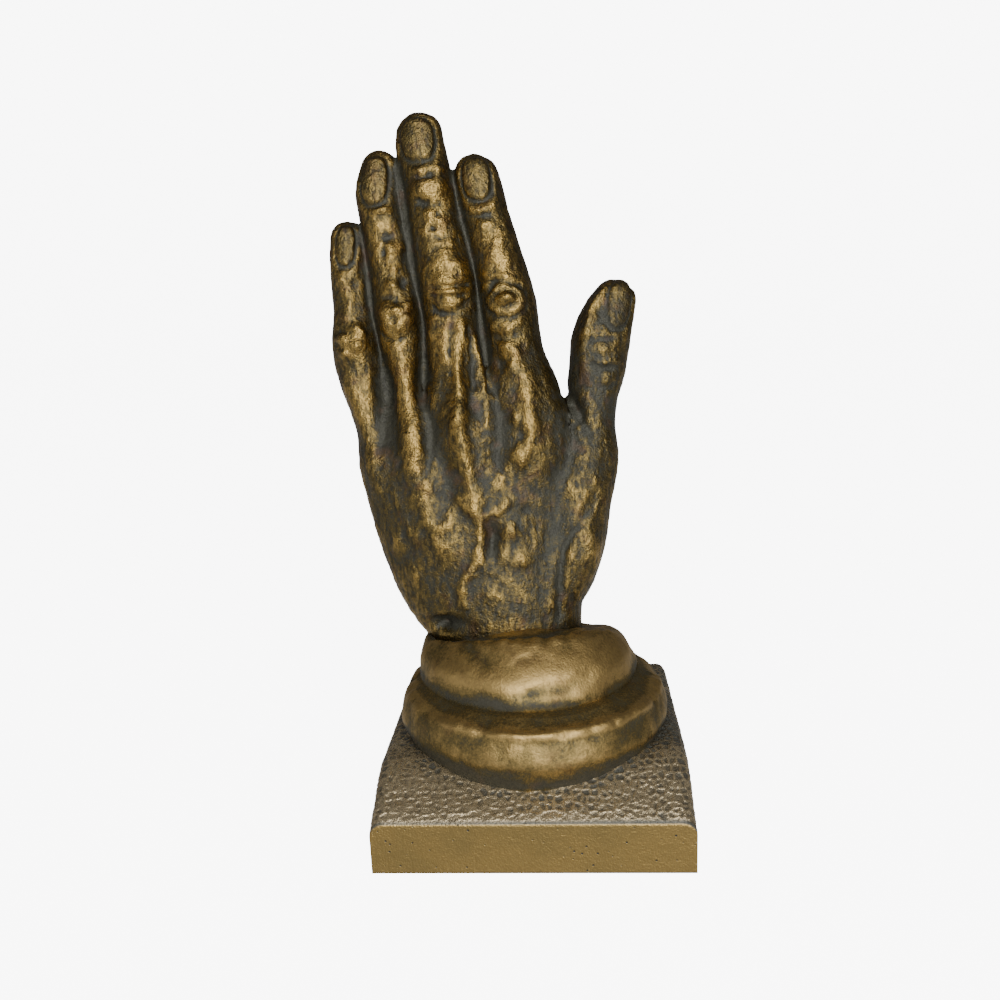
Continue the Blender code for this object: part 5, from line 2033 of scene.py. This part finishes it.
@dataclass(frozen=True)
class Studio:
    """Pale floor, soft lights and the camera of the view that is matched."""

    camera_place: tuple = (11.7, -292.4, 167.3)
    pitch: float = 14.0
    yaw: float = -3.83
    roll: float = -2.35
    lens: float = 37.05
    floor_glow: float = 8.0
    ceiling_glow: float = 0.10
    table_glow: float = 0.50
    floor_end: float = 1400.0
    floor_sweep: float = 500.0
    wall_top: float = 3500.0
    floor_start: float = -3000.0
    half_width: float = 4000.0

    def camera(self) -> None:
        """Set up the scene's camera."""
        pitch, yaw, roll = (np.radians(angle) for angle in (self.pitch, self.yaw, self.roll))
        ahead = Vector((np.sin(yaw) * np.cos(pitch), np.cos(yaw) * np.cos(pitch), -np.sin(pitch)))
        level = Vector((np.cos(yaw), -np.sin(yaw), 0.0))
        upright = level.cross(ahead)
        right = level * np.cos(roll) + upright * np.sin(roll)
        up = upright * np.cos(roll) - level * np.sin(roll)
        data = bpy.data.cameras.new("camera")
        data.lens = self.lens
        data.sensor_width = 36.0
        data.clip_start = 0.01
        item = new_object("camera", data)
        place = Matrix((right, up, -ahead)).transposed().to_4x4()
        place.translation = Vector(self.camera_place) * MM
        item.matrix_world = place
        bpy.context.scene.camera = item

    def panel(self, name: str, place: tuple, size: tuple, power: float, target: tuple = (0, 0, 100)) -> None:
        """Hang one soft light.

        Args:
            name: Name of the light.
            place: Where it hangs.
            size: Its width and height.
            power: Its power in watts.
            target: What it points at.
        """
        data = bpy.data.lights.new(name, "AREA")
        data.shape = "RECTANGLE"
        data.size = size[0] * MM
        data.size_y = size[1] * MM
        data.energy = power
        item = new_object(name, data)
        item.location = Vector(place) * MM
        item.rotation_euler = (Vector(target) - Vector(place)).to_track_quat("-Z", "Y").to_euler()

    def sheet(self, name: str, outline: list, material: bpy.types.Material) -> bpy.types.Object:
        """Spread a wide sheet along an outline.

        Args:
            name: Name of the sheet.
            outline: Places in depth and height that the sheet passes through.
            material: Its material.

        Returns:
            The sheet.
        """
        form = bmesh.new()
        sides = (-self.half_width, self.half_width)
        rows = [[form.verts.new((x * MM, y * MM, z * MM)) for x in sides] for y, z in outline]
        for near, far in zip(rows[:-1], rows[1:]):
            form.faces.new((near[0], near[1], far[1], far[0]))
        mesh = bpy.data.meshes.new(name)
        form.to_mesh(mesh)
        form.free()
        mesh.shade_smooth()
        item = new_object(name, mesh)
        mesh.materials.append(material)
        return item

    def floor(self) -> None:
        """Lay the pale floor, which sweeps up behind the object."""
        material = bpy.data.materials.new("pale_floor")
        material.use_nodes = True
        shader = material.node_tree.nodes["Principled BSDF"]
        shader.inputs["Base Color"].default_value = (0.93, 0.93, 0.93, 1.0)
        shader.inputs["Roughness"].default_value = 1.0
        shader.inputs["Specular IOR Level"].default_value = 0.0
        shader.inputs["Emission Color"].default_value = (1.0, 1.0, 1.0, 1.0)
        shader.inputs["Emission Strength"].default_value = self.floor_glow
        outline = [(self.floor_start, 0.0)]
        for angle in np.linspace(0, np.pi / 2, 16):
            outline.append((self.floor_end + self.floor_sweep * np.sin(angle),
                            self.floor_sweep * (1 - np.cos(angle))))
        outline.append((self.floor_end + self.floor_sweep, self.wall_top))
        item = self.sheet("floor", outline, material)
        item.visible_glossy = False
        item.visible_diffuse = False

    def world(self) -> None:
        """Light the room as a pale table under a dark ceiling does."""
        world = bpy.data.worlds.new("room")
        world.use_nodes = True
        nodes = world.node_tree.nodes
        links = world.node_tree.links
        back = nodes["Background"]
        back.inputs["Color"].default_value = (1.0, 1.0, 1.0, 1.0)
        split = nodes.new("ShaderNodeSeparateXYZ")
        links.new(nodes.new("ShaderNodeTexCoord").outputs["Generated"], split.inputs[0])
        fade = nodes.new("ShaderNodeMapRange")
        fade.interpolation_type = "SMOOTHSTEP"
        links.new(split.outputs["Z"], fade.inputs["Value"])
        fade.inputs["From Min"].default_value = -0.45
        fade.inputs["From Max"].default_value = 0.15
        fade.inputs["To Min"].default_value = self.table_glow
        fade.inputs["To Max"].default_value = self.ceiling_glow
        links.new(fade.outputs[0], back.inputs["Strength"])
        bpy.context.scene.world = world

    def build(self) -> None:
        """Set up everything around the object."""
        self.camera()
        self.floor()
        self.world()
        self.panel("front_light", (250, -1200, 420), (1000, 700), 13.0)
        self.panel("over_light", (100, -800, 1000), (900, 450), 6.0)
        self.panel("side_light", (-1300, -500, 300), (400, 700), 1.5)


def main() -> None:
    """Build every piece and the studio around them."""
    logging.basicConfig(level=logging.INFO, format="%(name)s: %(message)s")
    PillowBase().build()
    Sleeve().build()
    CastHand().build()
    Studio().build()


if __name__ == "__main__":
    main()
